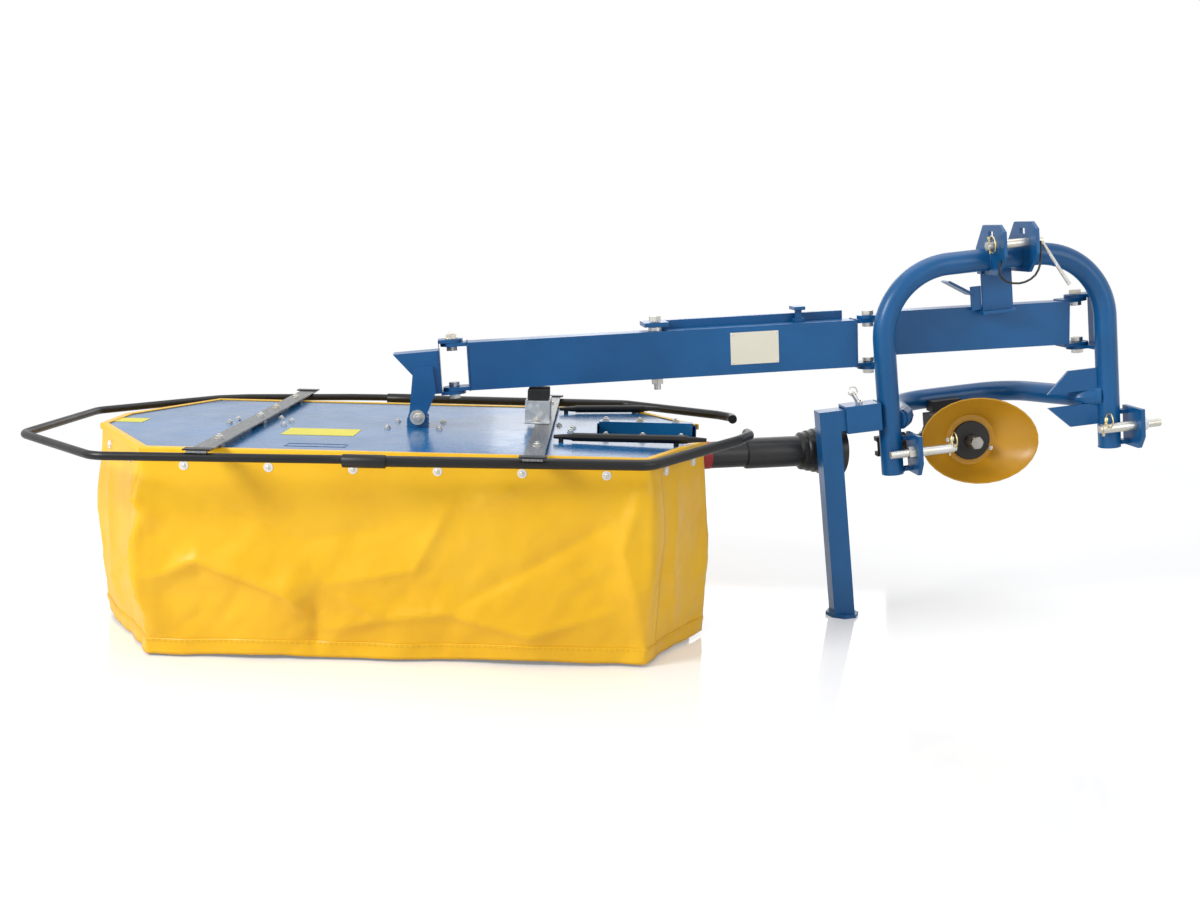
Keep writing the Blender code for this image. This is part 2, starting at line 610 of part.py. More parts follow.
def right_hinge(blue, zinc, arm, hitch):
    """Lugs on the hoop's right leg hold the beam's end between them on two short bolts."""
    middle = ARM_Z + 0.024 - HITCH_Z + (HITCH_X - 1.94) * sin(HITCH_LEAN)
    low, high = middle - 0.070, middle + 0.070
    beam = bpy.data.objects["cross_beam"]
    for z in (low, high - LUG_T):
        join(beam, lug_back(BEAM_HINGE_H, z, -0.110), frame=hitch)
    cut(beam, rod((BEAM_HINGE_H, 0, low - 0.1), (BEAM_HINGE_H, 0, high + 0.1), BOLT_R + GAP, sides=16),
        frame=hitch)
    outer_low, outer_high = low - GAP - LUG_T, high + GAP
    outline = [(BEAM_HINGE_H + LUG_R * cos(a),
                LUG_R * sin(a)) for a in [pi / 2 + i * pi / 6 for i in range(7)]]
    outline += [(-0.040, -LUG_R), (-0.040, HOOP_Y), (0.004, HOOP_Y), (0.004, LUG_R)]
    hinge = place("hinge_plate", prism(outline, outer_low, outer_low + LUG_T, "XY"), blue, hitch,
                  smooth=False)
    join(hinge, prism(outline, outer_high, outer_high + LUG_T, "XY"),
         box((-0.006, HOOP_Y + 0.001, outer_low + 0.002),
             (0.003, LUG_R - 0.001, outer_high + LUG_T - 0.002)))
    bend_start = HOOP_TOP - HOOP_BEND
    bent = HOOP_BEND - (HOOP_BEND ** 2 - (outer_high + LUG_T / 2 - bend_start) ** 2) ** 0.5
    cut(hinge, rod((RIGHT_LEG_X, HOOP_Y, low - 0.1), (RIGHT_LEG_X, HOOP_Y, high + 0.1), HOOP_R + GAP,
                   sides=32),
        rod((RIGHT_LEG_X - bent + 0.004, HOOP_Y, outer_high - 0.003),
            (RIGHT_LEG_X - bent - 0.006, HOOP_Y, outer_high + LUG_T + 0.005), HOOP_R + 0.006, sides=32))
    cut(hinge, rod((BEAM_HINGE_H, 0, low - 0.1), (BEAM_HINGE_H, 0, high + 0.1), BOLT_R + GAP, sides=16))
    bolts("beam", BEAM_HINGE_H, (("lower", outer_low, low + LUG_T),
                                 ("upper", high - LUG_T, outer_high + LUG_T)),
          zinc, hitch)


def hoop(blue, hitch):
    bend = rounded([(LEFT_LEG_X, HOOP_Y, LEG_BOTTOM), (LEFT_LEG_X, HOOP_Y, HOOP_TOP),
                    (RIGHT_LEG_X, HOOP_Y, HOOP_TOP), (RIGHT_LEG_X, HOOP_Y, LEG_BOTTOM)], HOOP_BEND, 8)
    as_mesh(tube("hoop", bend, HOOP_R, blue, hitch, bevel_resolution=3))
    reach = HOOP_Y + HOOP_R * 0.2
    left, right = LEFT_LEG_X + HOOP_R + GAP, RIGHT_LEG_X - HOOP_R - GAP
    path = rounded([(left + 0.002, reach, BOW_Z), (left + 0.030, reach + 0.05, BOW_Z),
                    (-0.575, BOW_BACK, BOW_Z), (-0.200, BOW_BACK, BOW_Z),
                    (right - 0.040, reach + 0.02, BOW_Z), (right - 0.002, reach, BOW_Z)], 0.12, 5)
    bow = as_mesh(tube("bow_tube", path, HOOP_R - 0.002, blue, hitch, bevel_resolution=3))
    cut(bow, rod((LEFT_LEG_X, HOOP_Y, BOW_Z - 0.1), (LEFT_LEG_X, HOOP_Y, BOW_Z + 0.1), HOOP_R + GAP,
                 sides=32),
        rod((RIGHT_LEG_X, HOOP_Y, BOW_Z - 0.1), (RIGHT_LEG_X, HOOP_Y, BOW_Z + 0.1), HOOP_R + GAP,
            sides=32))
    for sign in (-1, 1):
        face = sorted((BOW_Z + sign * 0.020, BOW_Z + sign * 0.082))
        outline = [(right - 0.150, face[0] if sign > 0 else face[1]),
                   (right, face[0] if sign > 0 else face[1]),
                   (right, face[1] if sign > 0 else face[0]),
                   (right - 0.085, face[1] if sign > 0 else face[0])]
        join(bow, prism(outline, HOOP_Y - 0.004, HOOP_Y + 0.006, "XZ"))
    cut(bow, rod((RIGHT_LEG_X, HOOP_Y, BOW_Z - 0.2), (RIGHT_LEG_X, HOOP_Y, BOW_Z + 0.2),
                 HOOP_R + 2 * GAP, sides=32))


def feet(blue, zinc, hitch):
    """The bracket and the lower link pin at the foot of each leg."""
    for side, leg_x, face, sign in (("left", LEFT_LEG_X, -0.619, 1), ("right", RIGHT_LEG_X, 0.036, -1)):
        plate = place(f"{side}_link_plate", prism(
            [(PIN_Y - 0.036, PIN_Z + 0.050), (PIN_Y - 0.036, PIN_Z - 0.030),
             (PIN_Y - 0.012, PIN_Z - 0.066),
             (HOOP_Y + 0.022, PIN_Z - 0.066), (HOOP_Y + 0.022, PIN_Z + 0.050)], face, face + 0.012,
             "YZ"),
            blue, hitch, smooth=False)
        edge = leg_x + HOOP_R + GAP
        for z in (PIN_Z - 0.060, PIN_Z + 0.030):
            join(plate, box((edge, HOOP_Y - 0.012, z), (face + 0.004, HOOP_Y + 0.012, z + 0.012)))
        cut(plate, rod((face - 0.05, PIN_Y, PIN_Z), (face + 0.05, PIN_Y, PIN_Z), PIN_R + GAP))
        tip = face + 0.012 + 0.108 if sign > 0 else face - 0.108
        tail = face - 0.072 if sign > 0 else face + 0.012 + 0.062
        pin = place(f"{side}_link_pin", rod((tail, PIN_Y, PIN_Z), (tip, PIN_Y, PIN_Z), PIN_R, sides=20),
                    zinc, hitch)
        inner = face + 0.012 + GAP if sign > 0 else face - GAP
        outer = face - GAP if sign > 0 else face + 0.012 + GAP
        join(pin, rod((inner, PIN_Y, PIN_Z), (inner + sign * 0.100, PIN_Y, PIN_Z), PIN_R + 0.003,
                      sides=20),
             rod((outer, PIN_Y, PIN_Z), (outer - sign * 0.020, PIN_Y, PIN_Z), 0.0185, sides=6))


def clevis(blue, zinc, black, hitch):
    back, front = -0.020, -0.225
    low, high = 0.162, 0.302
    outline = [(back, low), (back, 0.236), (back - 0.060, high), (front + 0.030, high),
               (front, high - 0.020),
               (front, 0.215), (front + 0.060, low)]
    for name, x in zip(("left_clevis_plate", "right_clevis_plate"), CLEVIS_X):
        plate = place(name, prism(outline, x - CLEVIS_T / 2, x + CLEVIS_T / 2, "YZ"), blue, hitch,
                      smooth=False)
        cut(plate, rod((x - 0.05, HOOP_Y, HOOP_TOP), (x + 0.05, HOOP_Y, HOOP_TOP), HOOP_R + GAP,
                       sides=32),
            rod((x - 0.05, TOP_PIN[0], TOP_PIN[1]), (x + 0.05, TOP_PIN[0], TOP_PIN[1]), 0.0125 + GAP),
            box((x - 0.05, -0.150, 0.268), (x + 0.05, -0.118, 0.284)))
    left, right = CLEVIS_X[0] - CLEVIS_T / 2, CLEVIS_X[1] + CLEVIS_T / 2
    pin = place("top_link_pin", rod((left - 0.028, *TOP_PIN), (right + 0.030, *TOP_PIN), 0.0125), zinc,
                hitch)
    join(pin, rod((right + 0.022, TOP_PIN[0], TOP_PIN[1] + 0.010),
                  (right + 0.100, TOP_PIN[0] - 0.010, TOP_PIN[1] - 0.130),
                  0.005, sides=10))
    mast = place("mast_strap", box((STRAP_X[0], HOOP_Y + HOOP_R + GAP, 0.056),
                                   (STRAP_X[1], HOOP_Y + HOOP_R + 0.010, 0.215)),
                 blue, hitch, smooth=False)
    join(mast, box((STRAP_X[0] - 0.008, HOOP_Y + HOOP_R - 0.020, 0.048),
                   (STRAP_X[1], HOOP_Y + HOOP_R + 0.010, 0.058)))
    for x in CLEVIS_X:
        cut(mast, box((x - CLEVIS_T / 2 - GAP, -0.2, 0.161), (x + CLEVIS_T / 2 + GAP, 0.1, 0.4)))
    latch = place("latch_lever", box((-0.395, -0.060, 0.062), (STRAP_X[0] - GAP, -0.050, 0.130)), blue,
                  hitch,
                  smooth=False)
    join(latch, prism([(-0.462, 0.150), (-0.456, 0.154), (-0.388, 0.112), (-0.390, 0.104)], -0.062,
                      0.000, "XZ"))
    lanyard(black, hitch)


LANYARD = (
    (-0.238, -0.1858, 0.246), (-0.240, -0.191, 0.233), (-0.242, -0.195, 0.217), (-0.245, -0.198, 0.201),
    (-0.248, -0.200, 0.184), (-0.254, -0.201, 0.169), (-0.264, -0.202, 0.155), (-0.278, -0.202, 0.145),
    (-0.294, -0.202, 0.139), (-0.311, -0.202, 0.137), (-0.328, -0.202, 0.139), (-0.344, -0.202, 0.144),
    (-0.357, -0.202, 0.154), (-0.3655, -0.202, 0.168), (-0.3670, -0.202, 0.184),
    (-0.3623, -0.202, 0.199),
    (-0.3623, -0.202, 0.206))
LANYARD_R = 0.003


def lanyard(black, hitch):
    tube("pin_lanyard", LANYARD, LANYARD_R, black, hitch)


def gearbox(cast, orange, zinc, hitch):
    wide, deep, tall = GEARBOX
    low = (DRIVE_X - wide / 2, GEARBOX_Y, DRIVE_Z - tall / 2)
    high = (DRIVE_X + wide / 2, GEARBOX_Y + deep, DRIVE_Z + tall / 2)
    case = place("gearbox", box(low, high), cast, hitch, smooth=False)
    mouth = GEARBOX_Y - 0.045
    join(case, rod((DRIVE_X, GEARBOX_Y + 0.01, DRIVE_Z), (DRIVE_X, mouth, DRIVE_Z), 0.057, sides=28),
         rod((low[0] + 0.01, DRIVE_Y, DRIVE_Z), (low[0] - 0.030, DRIVE_Y, DRIVE_Z), 0.045),
         box((DRIVE_X - 0.045, BOW_BACK - 0.070, high[2] - 0.004),
             (DRIVE_X + 0.045, BOW_BACK - 0.010, BOW_Z)))
    stub, stem = 0.0175, 0.0225
    bore = (stub + FIT) / cos(pi / 12)      # the flats of its twelve sides clear the stub
    cut(case, rod((DRIVE_X, mouth - 0.01, DRIVE_Z), (DRIVE_X, mouth + 0.030, DRIVE_Z), bore, sides=12),
        rod((low[0] - 0.04, DRIVE_Y, DRIVE_Z), (low[0] - 0.020, DRIVE_Y, DRIVE_Z), stem + FIT),
        rod((-0.60, BOW_BACK, BOW_Z), (-0.20, BOW_BACK, BOW_Z), HOOP_R - 0.002 + GAP, sides=32))
    place("input_stub", rod((DRIVE_X, mouth + 0.0292, DRIVE_Z), (DRIVE_X, mouth - 0.050, DRIVE_Z), stub,
                            sides=12),
          zinc, hitch, origin=(DRIVE_X, mouth, DRIVE_Z))
    cone(orange, hitch, mouth)
    fork = YOKE_X + 0.060
    yoke = place("output_yoke", rod((low[0] - 0.0208, DRIVE_Y, DRIVE_Z), (fork, DRIVE_Y, DRIVE_Z), stem,
                                    sides=16),
                 cast, hitch, origin=(fork, DRIVE_Y, DRIVE_Z))
    join(yoke, rod((fork + 0.030, DRIVE_Y, DRIVE_Z), (fork - 0.004, DRIVE_Y, DRIVE_Z), 0.034, sides=16))
    for side in (-1, 1):
        z = sorted((DRIVE_Z + side * 0.016, DRIVE_Z + side * 0.029))
        join(yoke, box((YOKE_X, DRIVE_Y - 0.014, z[0]), (fork + 0.010, DRIVE_Y + 0.014, z[1])))
    join(yoke, rod((YOKE_X + 0.014, DRIVE_Y, DRIVE_Z - 0.024),
                   (YOKE_X + 0.014, DRIVE_Y, DRIVE_Z + 0.024), 0.009, sides=12))


def cone(orange, hitch, mouth):
    """An oval guard: round where it is bolted to the gearbox and wide at its mouth."""
    hole, back = 0.057 + GAP, mouth + 0.012
    outside = ((back, CONE_BASE_R, CONE_BASE_R),
               (mouth - 0.012, CONE_BASE_R + 0.022, CONE_BASE_R + 0.010),
               (CONE_MOUTH_Y + 0.026, 0.156, 0.116), (CONE_MOUTH_Y, CONE_RX, CONE_RZ))
    inside = [(y, rx - CONE_T, rz - CONE_T) for y, rx, rz in reversed(outside[1:])]
    inside += [(back - CONE_T, CONE_BASE_R - CONE_T, CONE_BASE_R - CONE_T), (back - CONE_T, hole, hole),
               (back, hole, hole)]
    shape = bmesh.new()
    sides = 32
    tilt = radians(-9)
    rings = []
    for y, rx, rz in (*outside, *inside):
        lift = 0.010 * (rx - hole) / (CONE_RX - hole)
        ring = []
        for step in range(sides):
            u, v = rx * cos(2 * pi * step / sides), rz * sin(2 * pi * step / sides)
            ring.append(shape.verts.new((DRIVE_X + u * cos(tilt) - v * sin(tilt), y,
                                         DRIVE_Z + lift + u * sin(tilt) + v * cos(tilt))))
        rings.append(ring)
    for ring, following in zip(rings, rings[1:] + rings[:1]):
        for step in range(sides):
            after = (step + 1) % sides
            shape.faces.new((ring[step], ring[after], following[after], following[step]))
    place("shaft_guard_cone", shape, orange, hitch)


def drive_shaft(black, arm, world):
    """The guarded telescopic shaft, whose axis runs from the deck's gear case to the gearbox."""
    bpy.context.view_layer.update()
    inner = arm.matrix_world @ Vector((SHAFT_INNER_X, DRIVE_Y, -0.186))
    outer = SHAFT_OUTER
    along = (inner - outer).normalized()
    bend = along.to_track_quat("X", "Z").to_euler()
    axle = empty("drive_shaft_axis", world, outer, bend)
    length = (inner - outer).length
    end = length - 0.006
    tip = (outer.x - NOSE_X - FIT) / along.x
    profile = [(0.0, -tip), (0.012, -tip + 0.006), (0.012, -0.008), (0.022, -0.002), (0.022, 0.020),
               (0.052, 0.020), (0.052, 0.110), (TUBE_R, 0.130),
               (TUBE_R, end - 0.294), (TUBE_R + 0.006, end - 0.290), (TUBE_R + 0.006, end - 0.130),
               (TUBE_R + 0.014, end - 0.128), (BELL_R, end - 0.030), (BELL_R, end),
               (BELL_R - 0.006, end),
               (TUBE_R, end - 0.100), (0.022, end - 0.100), (0.022, end), (0.0, end)]
    shape = turned(profile, (0, 0, 0), sides=24)
    bmesh.ops.rotate(shape, cent=(0, 0, 0), matrix=Matrix.Rotation(pi / 2, 3, "Y"), verts=shape.verts)
    place("drive_shaft", shape, black, axle)


def stand(blue, zinc, hitch):
    half, room = SOCKET_W / 2, STAND_W / 2 + 0.0015
    socket = place("stand_socket",
                   box((SOCKET_X[0], HOOP_Y - half, STAND_Z - half),
                       (SOCKET_X[1], HOOP_Y + half, STAND_Z + half)),
                   blue, hitch, smooth=False)
    cut(socket, box((SOCKET_X[0] - 0.01, HOOP_Y - room, STAND_Z - room),
                    (SOCKET_X[1] + 0.01, HOOP_Y + room, STAND_Z + room)),
        rod((LEFT_LEG_X, HOOP_Y, STAND_Z - 0.1), (LEFT_LEG_X, HOOP_Y, STAND_Z + 0.1), HOOP_R + GAP,
            sides=32))
    pin_x = -0.757
    cut(socket, rod((pin_x, HOOP_Y, STAND_Z), (pin_x, HOOP_Y, STAND_Z + 0.1), 0.006 + GAP, sides=12))
    bpy.context.view_layer.update()
    to_world = hitch.matrix_world
    down = to_world[2]
    foot_z = (FOOT_T - 0.004 - down[0] * STAND_X - down[1] * HOOP_Y - down[3]) / down[2]
    half = STAND_W / 2
    outline = [(STAND_X - half, foot_z), (STAND_X + half, foot_z), (STAND_X + half, STAND_Z - half),
               (-0.712, STAND_Z - half), (-0.712, STAND_Z + half), (STAND_X - half, STAND_Z + half)]
    leg = place("stand_leg", prism(outline, HOOP_Y - half, HOOP_Y + half, "XZ"), blue, hitch,
                origin=(STAND_X, HOOP_Y, STAND_Z), smooth=False)
    foot = to_world @ Vector((STAND_X, HOOP_Y, foot_z))
    join(leg, rod((foot.x, foot.y, 0.0), (foot.x, foot.y, FOOT_T), FOOT_R, sides=8),
         frame=hitch.parent.parent)
    cut(leg, box((foot.x - 0.2, foot.y - 0.2, -0.1), (foot.x + 0.2, foot.y + 0.2, 0.0)),
        frame=hitch.parent.parent)
    pin = place("stand_pin", rod((pin_x, HOOP_Y, STAND_Z + STAND_W / 2 + 2 * GAP),
                                 (pin_x, HOOP_Y, STAND_Z + 0.050), 0.006, sides=12),
                zinc, hitch)
    join(pin, rod((pin_x, HOOP_Y, STAND_Z + SOCKET_W / 2 + GAP),
                  (pin_x, HOOP_Y, STAND_Z + SOCKET_W / 2 + 0.006), 0.010, sides=12),
         rod((pin_x - 0.003, HOOP_Y, STAND_Z + 0.042), (pin_x - 0.018, HOOP_Y, STAND_Z + 0.074), 0.006,
             sides=12))


def centre_on_floor(world):
    """Moves the whole machine so that the middle of its footprint is the origin."""
    bpy.context.view_layer.update()
    graph = bpy.context.evaluated_depsgraph_get()
    low, high = Vector((1e9, 1e9)), Vector((-1e9, -1e9))
    for piece in bpy.data.collections["rotary_mower"].objects:
        if piece.type not in ("MESH", "CURVE"):
            continue
        ready = piece.evaluated_get(graph)
        mesh = ready.to_mesh()
        for vertex in mesh.vertices:
            at = ready.matrix_world @ vertex.co
            low = Vector(map(min, low, at.xy))
            high = Vector(map(max, high, at.xy))
        ready.to_mesh_clear()
    world.location = (-(low.x + high.x) / 2, -(low.y + high.y) / 2, 0.0)


def main():
    start()
    blue = paint("blue_paint", (0.012, 0.105, 0.270), 0.32)
    deck_blue = paint("deck_paint", (0.020, 0.120, 0.300), 0.12)
    canvas = paint("yellow_canvas", (0.86, 0.56, 0.008), 0.40)
    orange = paint("guard_plastic", (0.56, 0.26, 0.010), 0.45)
    black = paint("black_paint", (0.010, 0.010, 0.011), 0.35)
    grey = paint("grey_strap", (0.16, 0.17, 0.18), 0.50, 0.5)
    zinc = paint("zinc", (0.62, 0.63, 0.64), 0.30, 1.0)
    cast = paint("cast_iron", (0.020, 0.020, 0.022), 0.60, 0.3)
    rubber = paint("rubber", (0.012, 0.012, 0.012), 0.85)
    drum_paint = paint("drum_paint", (0.80, 0.45, 0.010), 0.40)

    world = empty("mower")
    level = empty("pivot_level", world, (0, PIVOT_Y, DECK_Z + PIVOT_UP), (0, 0, ARM_TURN))
    arm = empty("arm_frame", world, (0, PIVOT_Y, DECK_Z + PIVOT_UP), (0, -ARM_RISE, ARM_TURN))
    hitch = empty("hitch_frame", arm, (HITCH_X, 0, HITCH_Z), (0, -HITCH_LEAN, 0))

    deck(deck_blue, world, level)
    rails(deck_blue, world)
    straps(grey, world)
    guards(black, world)
    braces(black, world)
    bracket(zinc, rubber, world)
    skirt(canvas, world)
    gear_case(cast, world)
    rotors(drum_paint, zinc, world)
    carrying_arm(blue, zinc, arm)
    cross_beam(blue, zinc, arm)
    right_hinge(blue, zinc, arm, hitch)
    hoop(blue, hitch)
    feet(blue, zinc, hitch)
    clevis(blue, zinc, black, hitch)
    gearbox(cast, orange, zinc, hitch)
    drive_shaft(black, arm, world)
    stand(blue, zinc, hitch)
    centre_on_floor(world)


main()
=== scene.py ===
import json
from math import cos, pi, radians, sin

import bmesh
import bpy
from mathutils import Matrix, Vector, noise

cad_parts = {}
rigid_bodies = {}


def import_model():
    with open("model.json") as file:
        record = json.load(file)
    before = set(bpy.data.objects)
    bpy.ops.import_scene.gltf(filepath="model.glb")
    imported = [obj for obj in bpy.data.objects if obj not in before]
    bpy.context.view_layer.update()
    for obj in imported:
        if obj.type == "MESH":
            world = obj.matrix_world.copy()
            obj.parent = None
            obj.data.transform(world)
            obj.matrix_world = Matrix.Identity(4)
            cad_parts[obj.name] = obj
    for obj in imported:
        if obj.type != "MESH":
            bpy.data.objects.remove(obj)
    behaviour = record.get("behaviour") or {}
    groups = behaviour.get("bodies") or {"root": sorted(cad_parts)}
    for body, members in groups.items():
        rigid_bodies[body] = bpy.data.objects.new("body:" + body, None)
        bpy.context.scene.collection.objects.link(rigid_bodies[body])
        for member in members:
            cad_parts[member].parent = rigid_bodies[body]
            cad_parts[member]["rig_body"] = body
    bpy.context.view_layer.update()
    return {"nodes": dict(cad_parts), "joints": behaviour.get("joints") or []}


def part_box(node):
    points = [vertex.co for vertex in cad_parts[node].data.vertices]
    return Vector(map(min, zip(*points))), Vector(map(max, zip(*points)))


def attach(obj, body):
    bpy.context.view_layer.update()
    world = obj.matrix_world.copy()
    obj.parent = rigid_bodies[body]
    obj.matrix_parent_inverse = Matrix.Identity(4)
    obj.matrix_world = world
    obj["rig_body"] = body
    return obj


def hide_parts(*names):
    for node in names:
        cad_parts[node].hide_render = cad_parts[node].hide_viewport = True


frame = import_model()
nodes = frame["nodes"]
joints = {joint["name"]: joint for joint in frame["joints"]}
print("frame loaded:", len(nodes), "nodes")


# Places: the deck is level, the arm's frame starts on the tilt pivot, the hitch leans a little further

armLength = dict(hitchAlong=2.0, hitchUp=0.170)

acrossAxis = Vector(joints["deck_tilt"]["axis"])
armUp = -Vector(joints["arm_swing"]["axis"])
armAlong = acrossAxis.cross(armUp).normalized()
hitchAlong = -Vector(joints["output_spin"]["axis"])
hitchUp = hitchAlong.cross(acrossAxis).normalized()


def framed(along, across, up, origin):
    turn = Matrix((along, across, up)).transposed().to_4x4()
    return Matrix.Translation(origin) @ turn


armFrame = framed(armAlong, acrossAxis, armUp, Vector(joints["deck_tilt"]["pos_m"]))
hitchOrigin = armFrame @ Vector((armLength["hitchAlong"], 0, armLength["hitchUp"]))
hitchFrame = framed(hitchAlong, acrossAxis, hitchUp, hitchOrigin)
deckLow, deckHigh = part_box("deck")
deckMiddle = Vector(((deckLow.x + deckHigh.x) / 2, (deckLow.y + deckHigh.y) / 2, deckHigh.z))
levelFrame = Matrix.Translation(deckMiddle)      # z = 0 is the deck's top


def placed(name, data):
    made = bpy.data.objects.new(name, data)
    bpy.context.scene.collection.objects.link(made)
    return made


# Camera

lens = dict(away=(0.5485, -3.654, 1.094), pitch=9.53, roll=1.39, yaw=-0.06, focal=39.20)

camera = placed("camera", bpy.data.cameras.new("camera"))
camera.data.lens = lens["focal"]
camera.data.sensor_width = 36
camera.data.clip_end = 60
yaw, pitch, roll = (radians(lens[name]) for name in ("yaw", "pitch", "roll"))
ahead = Vector((sin(yaw) * cos(pitch), cos(yaw) * cos(pitch), -sin(pitch)))
levelRight = Vector((cos(yaw), -sin(yaw), 0))
levelUp = levelRight.cross(ahead)
right = levelRight * cos(roll) + levelUp * sin(roll)
upward = levelUp * cos(roll) - levelRight * sin(roll)
spot = Vector((deckMiddle.x, deckMiddle.y, 0)) + Vector(lens["away"])
camera.matrix_world = framed(right, upward, -ahead, spot)
bpy.context.scene.camera = camera
print("camera set")


# Finishes

def join(tree, *pairs):
    for source, target in pairs:
        tree.links.new(source, target)


def blankFinish(name, colour, roughness, metallic=0.0):
    made = bpy.data.materials.new(name)
    made.use_nodes = True
    tree = made.node_tree
    shader = tree.nodes["Principled BSDF"]
    shader.inputs["Base Color"].default_value = (*colour, 1)
    shader.inputs["Roughness"].default_value = roughness
    shader.inputs["Metallic"].default_value = metallic
    place = tree.nodes.new("ShaderNodeTexCoord")
    return made, tree, shader, place.outputs["Object"]


def noiseNode(tree, place, scale, detail=4, rough=0.55, stretch=None):
    if stretch:
        mapping = tree.nodes.new("ShaderNodeMapping")
        mapping.inputs["Scale"].default_value = stretch
        tree.links.new(place, mapping.inputs["Vector"])
        place = mapping.outputs["Vector"]
    made = tree.nodes.new("ShaderNodeTexNoise")
    made.inputs["Scale"].default_value = scale
    made.inputs["Detail"].default_value = detail
    made.inputs["Roughness"].default_value = rough
    tree.links.new(place, made.inputs["Vector"])
    return made.outputs["Fac"]


def ramp(tree, value, *stops):
    made = tree.nodes.new("ShaderNodeValToRGB")
    strip = made.color_ramp
    while len(strip.elements) < len(stops):
        strip.elements.new(0.5)
    for element, (at, colour) in zip(strip.elements, stops):
        element.position = at
        element.color = (*colour, 1) if len(colour) == 3 else colour
    tree.links.new(value, made.inputs["Fac"])
    return made.outputs["Color"]


def spread(tree, value, low, high):
    made = tree.nodes.new("ShaderNodeMapRange")
    made.inputs["To Min"].default_value = low
    made.inputs["To Max"].default_value = high
    tree.links.new(value, made.inputs["Value"])
    return made.outputs["Result"]


def blendColours(tree, amount, first, second):
    made = tree.nodes.new("ShaderNodeMix")
    made.data_type = "RGBA"
    for socket, value in (("Factor", amount), ("A", first), ("B", second)):
        target = [s for s in made.inputs if s.name == socket and s.enabled][0]
        if isinstance(value, (tuple, float)):
            target.default_value = value if isinstance(value, float) else (*value, 1)
        else:
            tree.links.new(value, target)
    return [s for s in made.outputs if s.enabled][0]


def addBump(tree, shader, height, strength, distance, under=None):
    made = tree.nodes.new("ShaderNodeBump")
    made.inputs["Strength"].default_value = strength
    made.inputs["Distance"].default_value = distance
    tree.links.new(height, made.inputs["Height"])
    if under:
        tree.links.new(under, made.inputs["Normal"])
    tree.links.new(made.outputs["Normal"], shader.inputs["Normal"])
    return made.outputs["Normal"]


def enamel(name, colour, roughness=0.25, streak=0.18, coat=0.35):
    # brushed-on machine enamel: cloudy tone, fine orange peel, dust in the dips
    made, tree, shader, place = blankFinish(name, colour, roughness)
    cloud = noiseNode(tree, place, 3.2, 6, 0.62)
    darker = tuple(c * (1 - streak) for c in colour)
    lighter = tuple(min(1, c * (1 + streak) + 0.004) for c in colour)
    tone = ramp(tree, cloud, (0.30, darker), (0.70, lighter))
    dust = ramp(tree, noiseNode(tree, place, 34, 8, 0.7), (0.62, (0, 0, 0)), (0.80, (1, 1, 1)))
    faint = spread(tree, dust, 0.0, 0.05)
    mixed = blendColours(tree, faint, tone, (0.34, 0.33, 0.30))
    tree.links.new(mixed, shader.inputs["Base Color"])
    tree.links.new(spread(tree, noiseNode(tree, place, 11, 5), roughness * 0.7, roughness * 1.5),
                   shader.inputs["Roughness"])
    shader.inputs["Coat Weight"].default_value = coat
    shader.inputs["Specular IOR Level"].default_value = 0.38
    shader.inputs["Coat Roughness"].default_value = 0.12
    peel = addBump(tree, shader, noiseNode(tree, place, 260, 2), 0.10, 0.0006)
    addBump(tree, shader, noiseNode(tree, place, 9, 3), 0.12, 0.002, peel)
    return made


def platedSteel(name, colour, roughness=0.32, tint=(0.62, 0.56, 0.40), spangle=0.0):
    made, tree, shader, place = blankFinish(name, colour, roughness, 1.0)
    tone = ramp(tree, noiseNode(tree, place, 22, 5), (0.35, colour), (0.75, tint))
    if spangle:
        cells = tree.nodes.new("ShaderNodeTexVoronoi")
        cells.inputs["Scale"].default_value = 60
        tree.links.new(place, cells.inputs["Vector"])
        grey = ramp(tree, cells.outputs["Color"], (0.2, (0.40, 0.42, 0.44)), (0.8, (0.72, 0.74, 0.76)))
        tone = blendColours(tree, spangle, tone, grey)
    tree.links.new(tone, shader.inputs["Base Color"])
    tree.links.new(spread(tree, noiseNode(tree, place, 45, 4), roughness * 0.75, roughness * 1.45),
                   shader.inputs["Roughness"])
    addBump(tree, shader, noiseNode(tree, place, 190, 3), 0.12, 0.0005)
    return made


def casting(name, colour, roughness=0.6, grain=120, depth=0.0012):
    made, tree, shader, place = blankFinish(name, colour, roughness, 0.2)
    lighter = tuple(c * 1.8 + 0.01 for c in colour)
    tree.links.new(ramp(tree, noiseNode(tree, place, 7, 6), (0.3, colour), (0.8, lighter)),
                   shader.inputs["Base Color"])
    addBump(tree, shader, noiseNode(tree, place, grain, 6, 0.7), 0.45, depth)
    return made


def moulded(name, colour, roughness=0.42, grain=420, shade=0.16):
    made, tree, shader, place = blankFinish(name, colour, roughness)
    darker = tuple(c * (1 - shade) for c in colour)
    tree.links.new(ramp(tree, noiseNode(tree, place, 6, 5), (0.32, darker), (0.72, colour)),
                   shader.inputs["Base Color"])
    tree.links.new(spread(tree, noiseNode(tree, place, 18, 5), roughness * 0.8, roughness * 1.3),
                   shader.inputs["Roughness"])
    addBump(tree, shader, noiseNode(tree, place, grain, 2), 0.10, 0.0004)
    return made


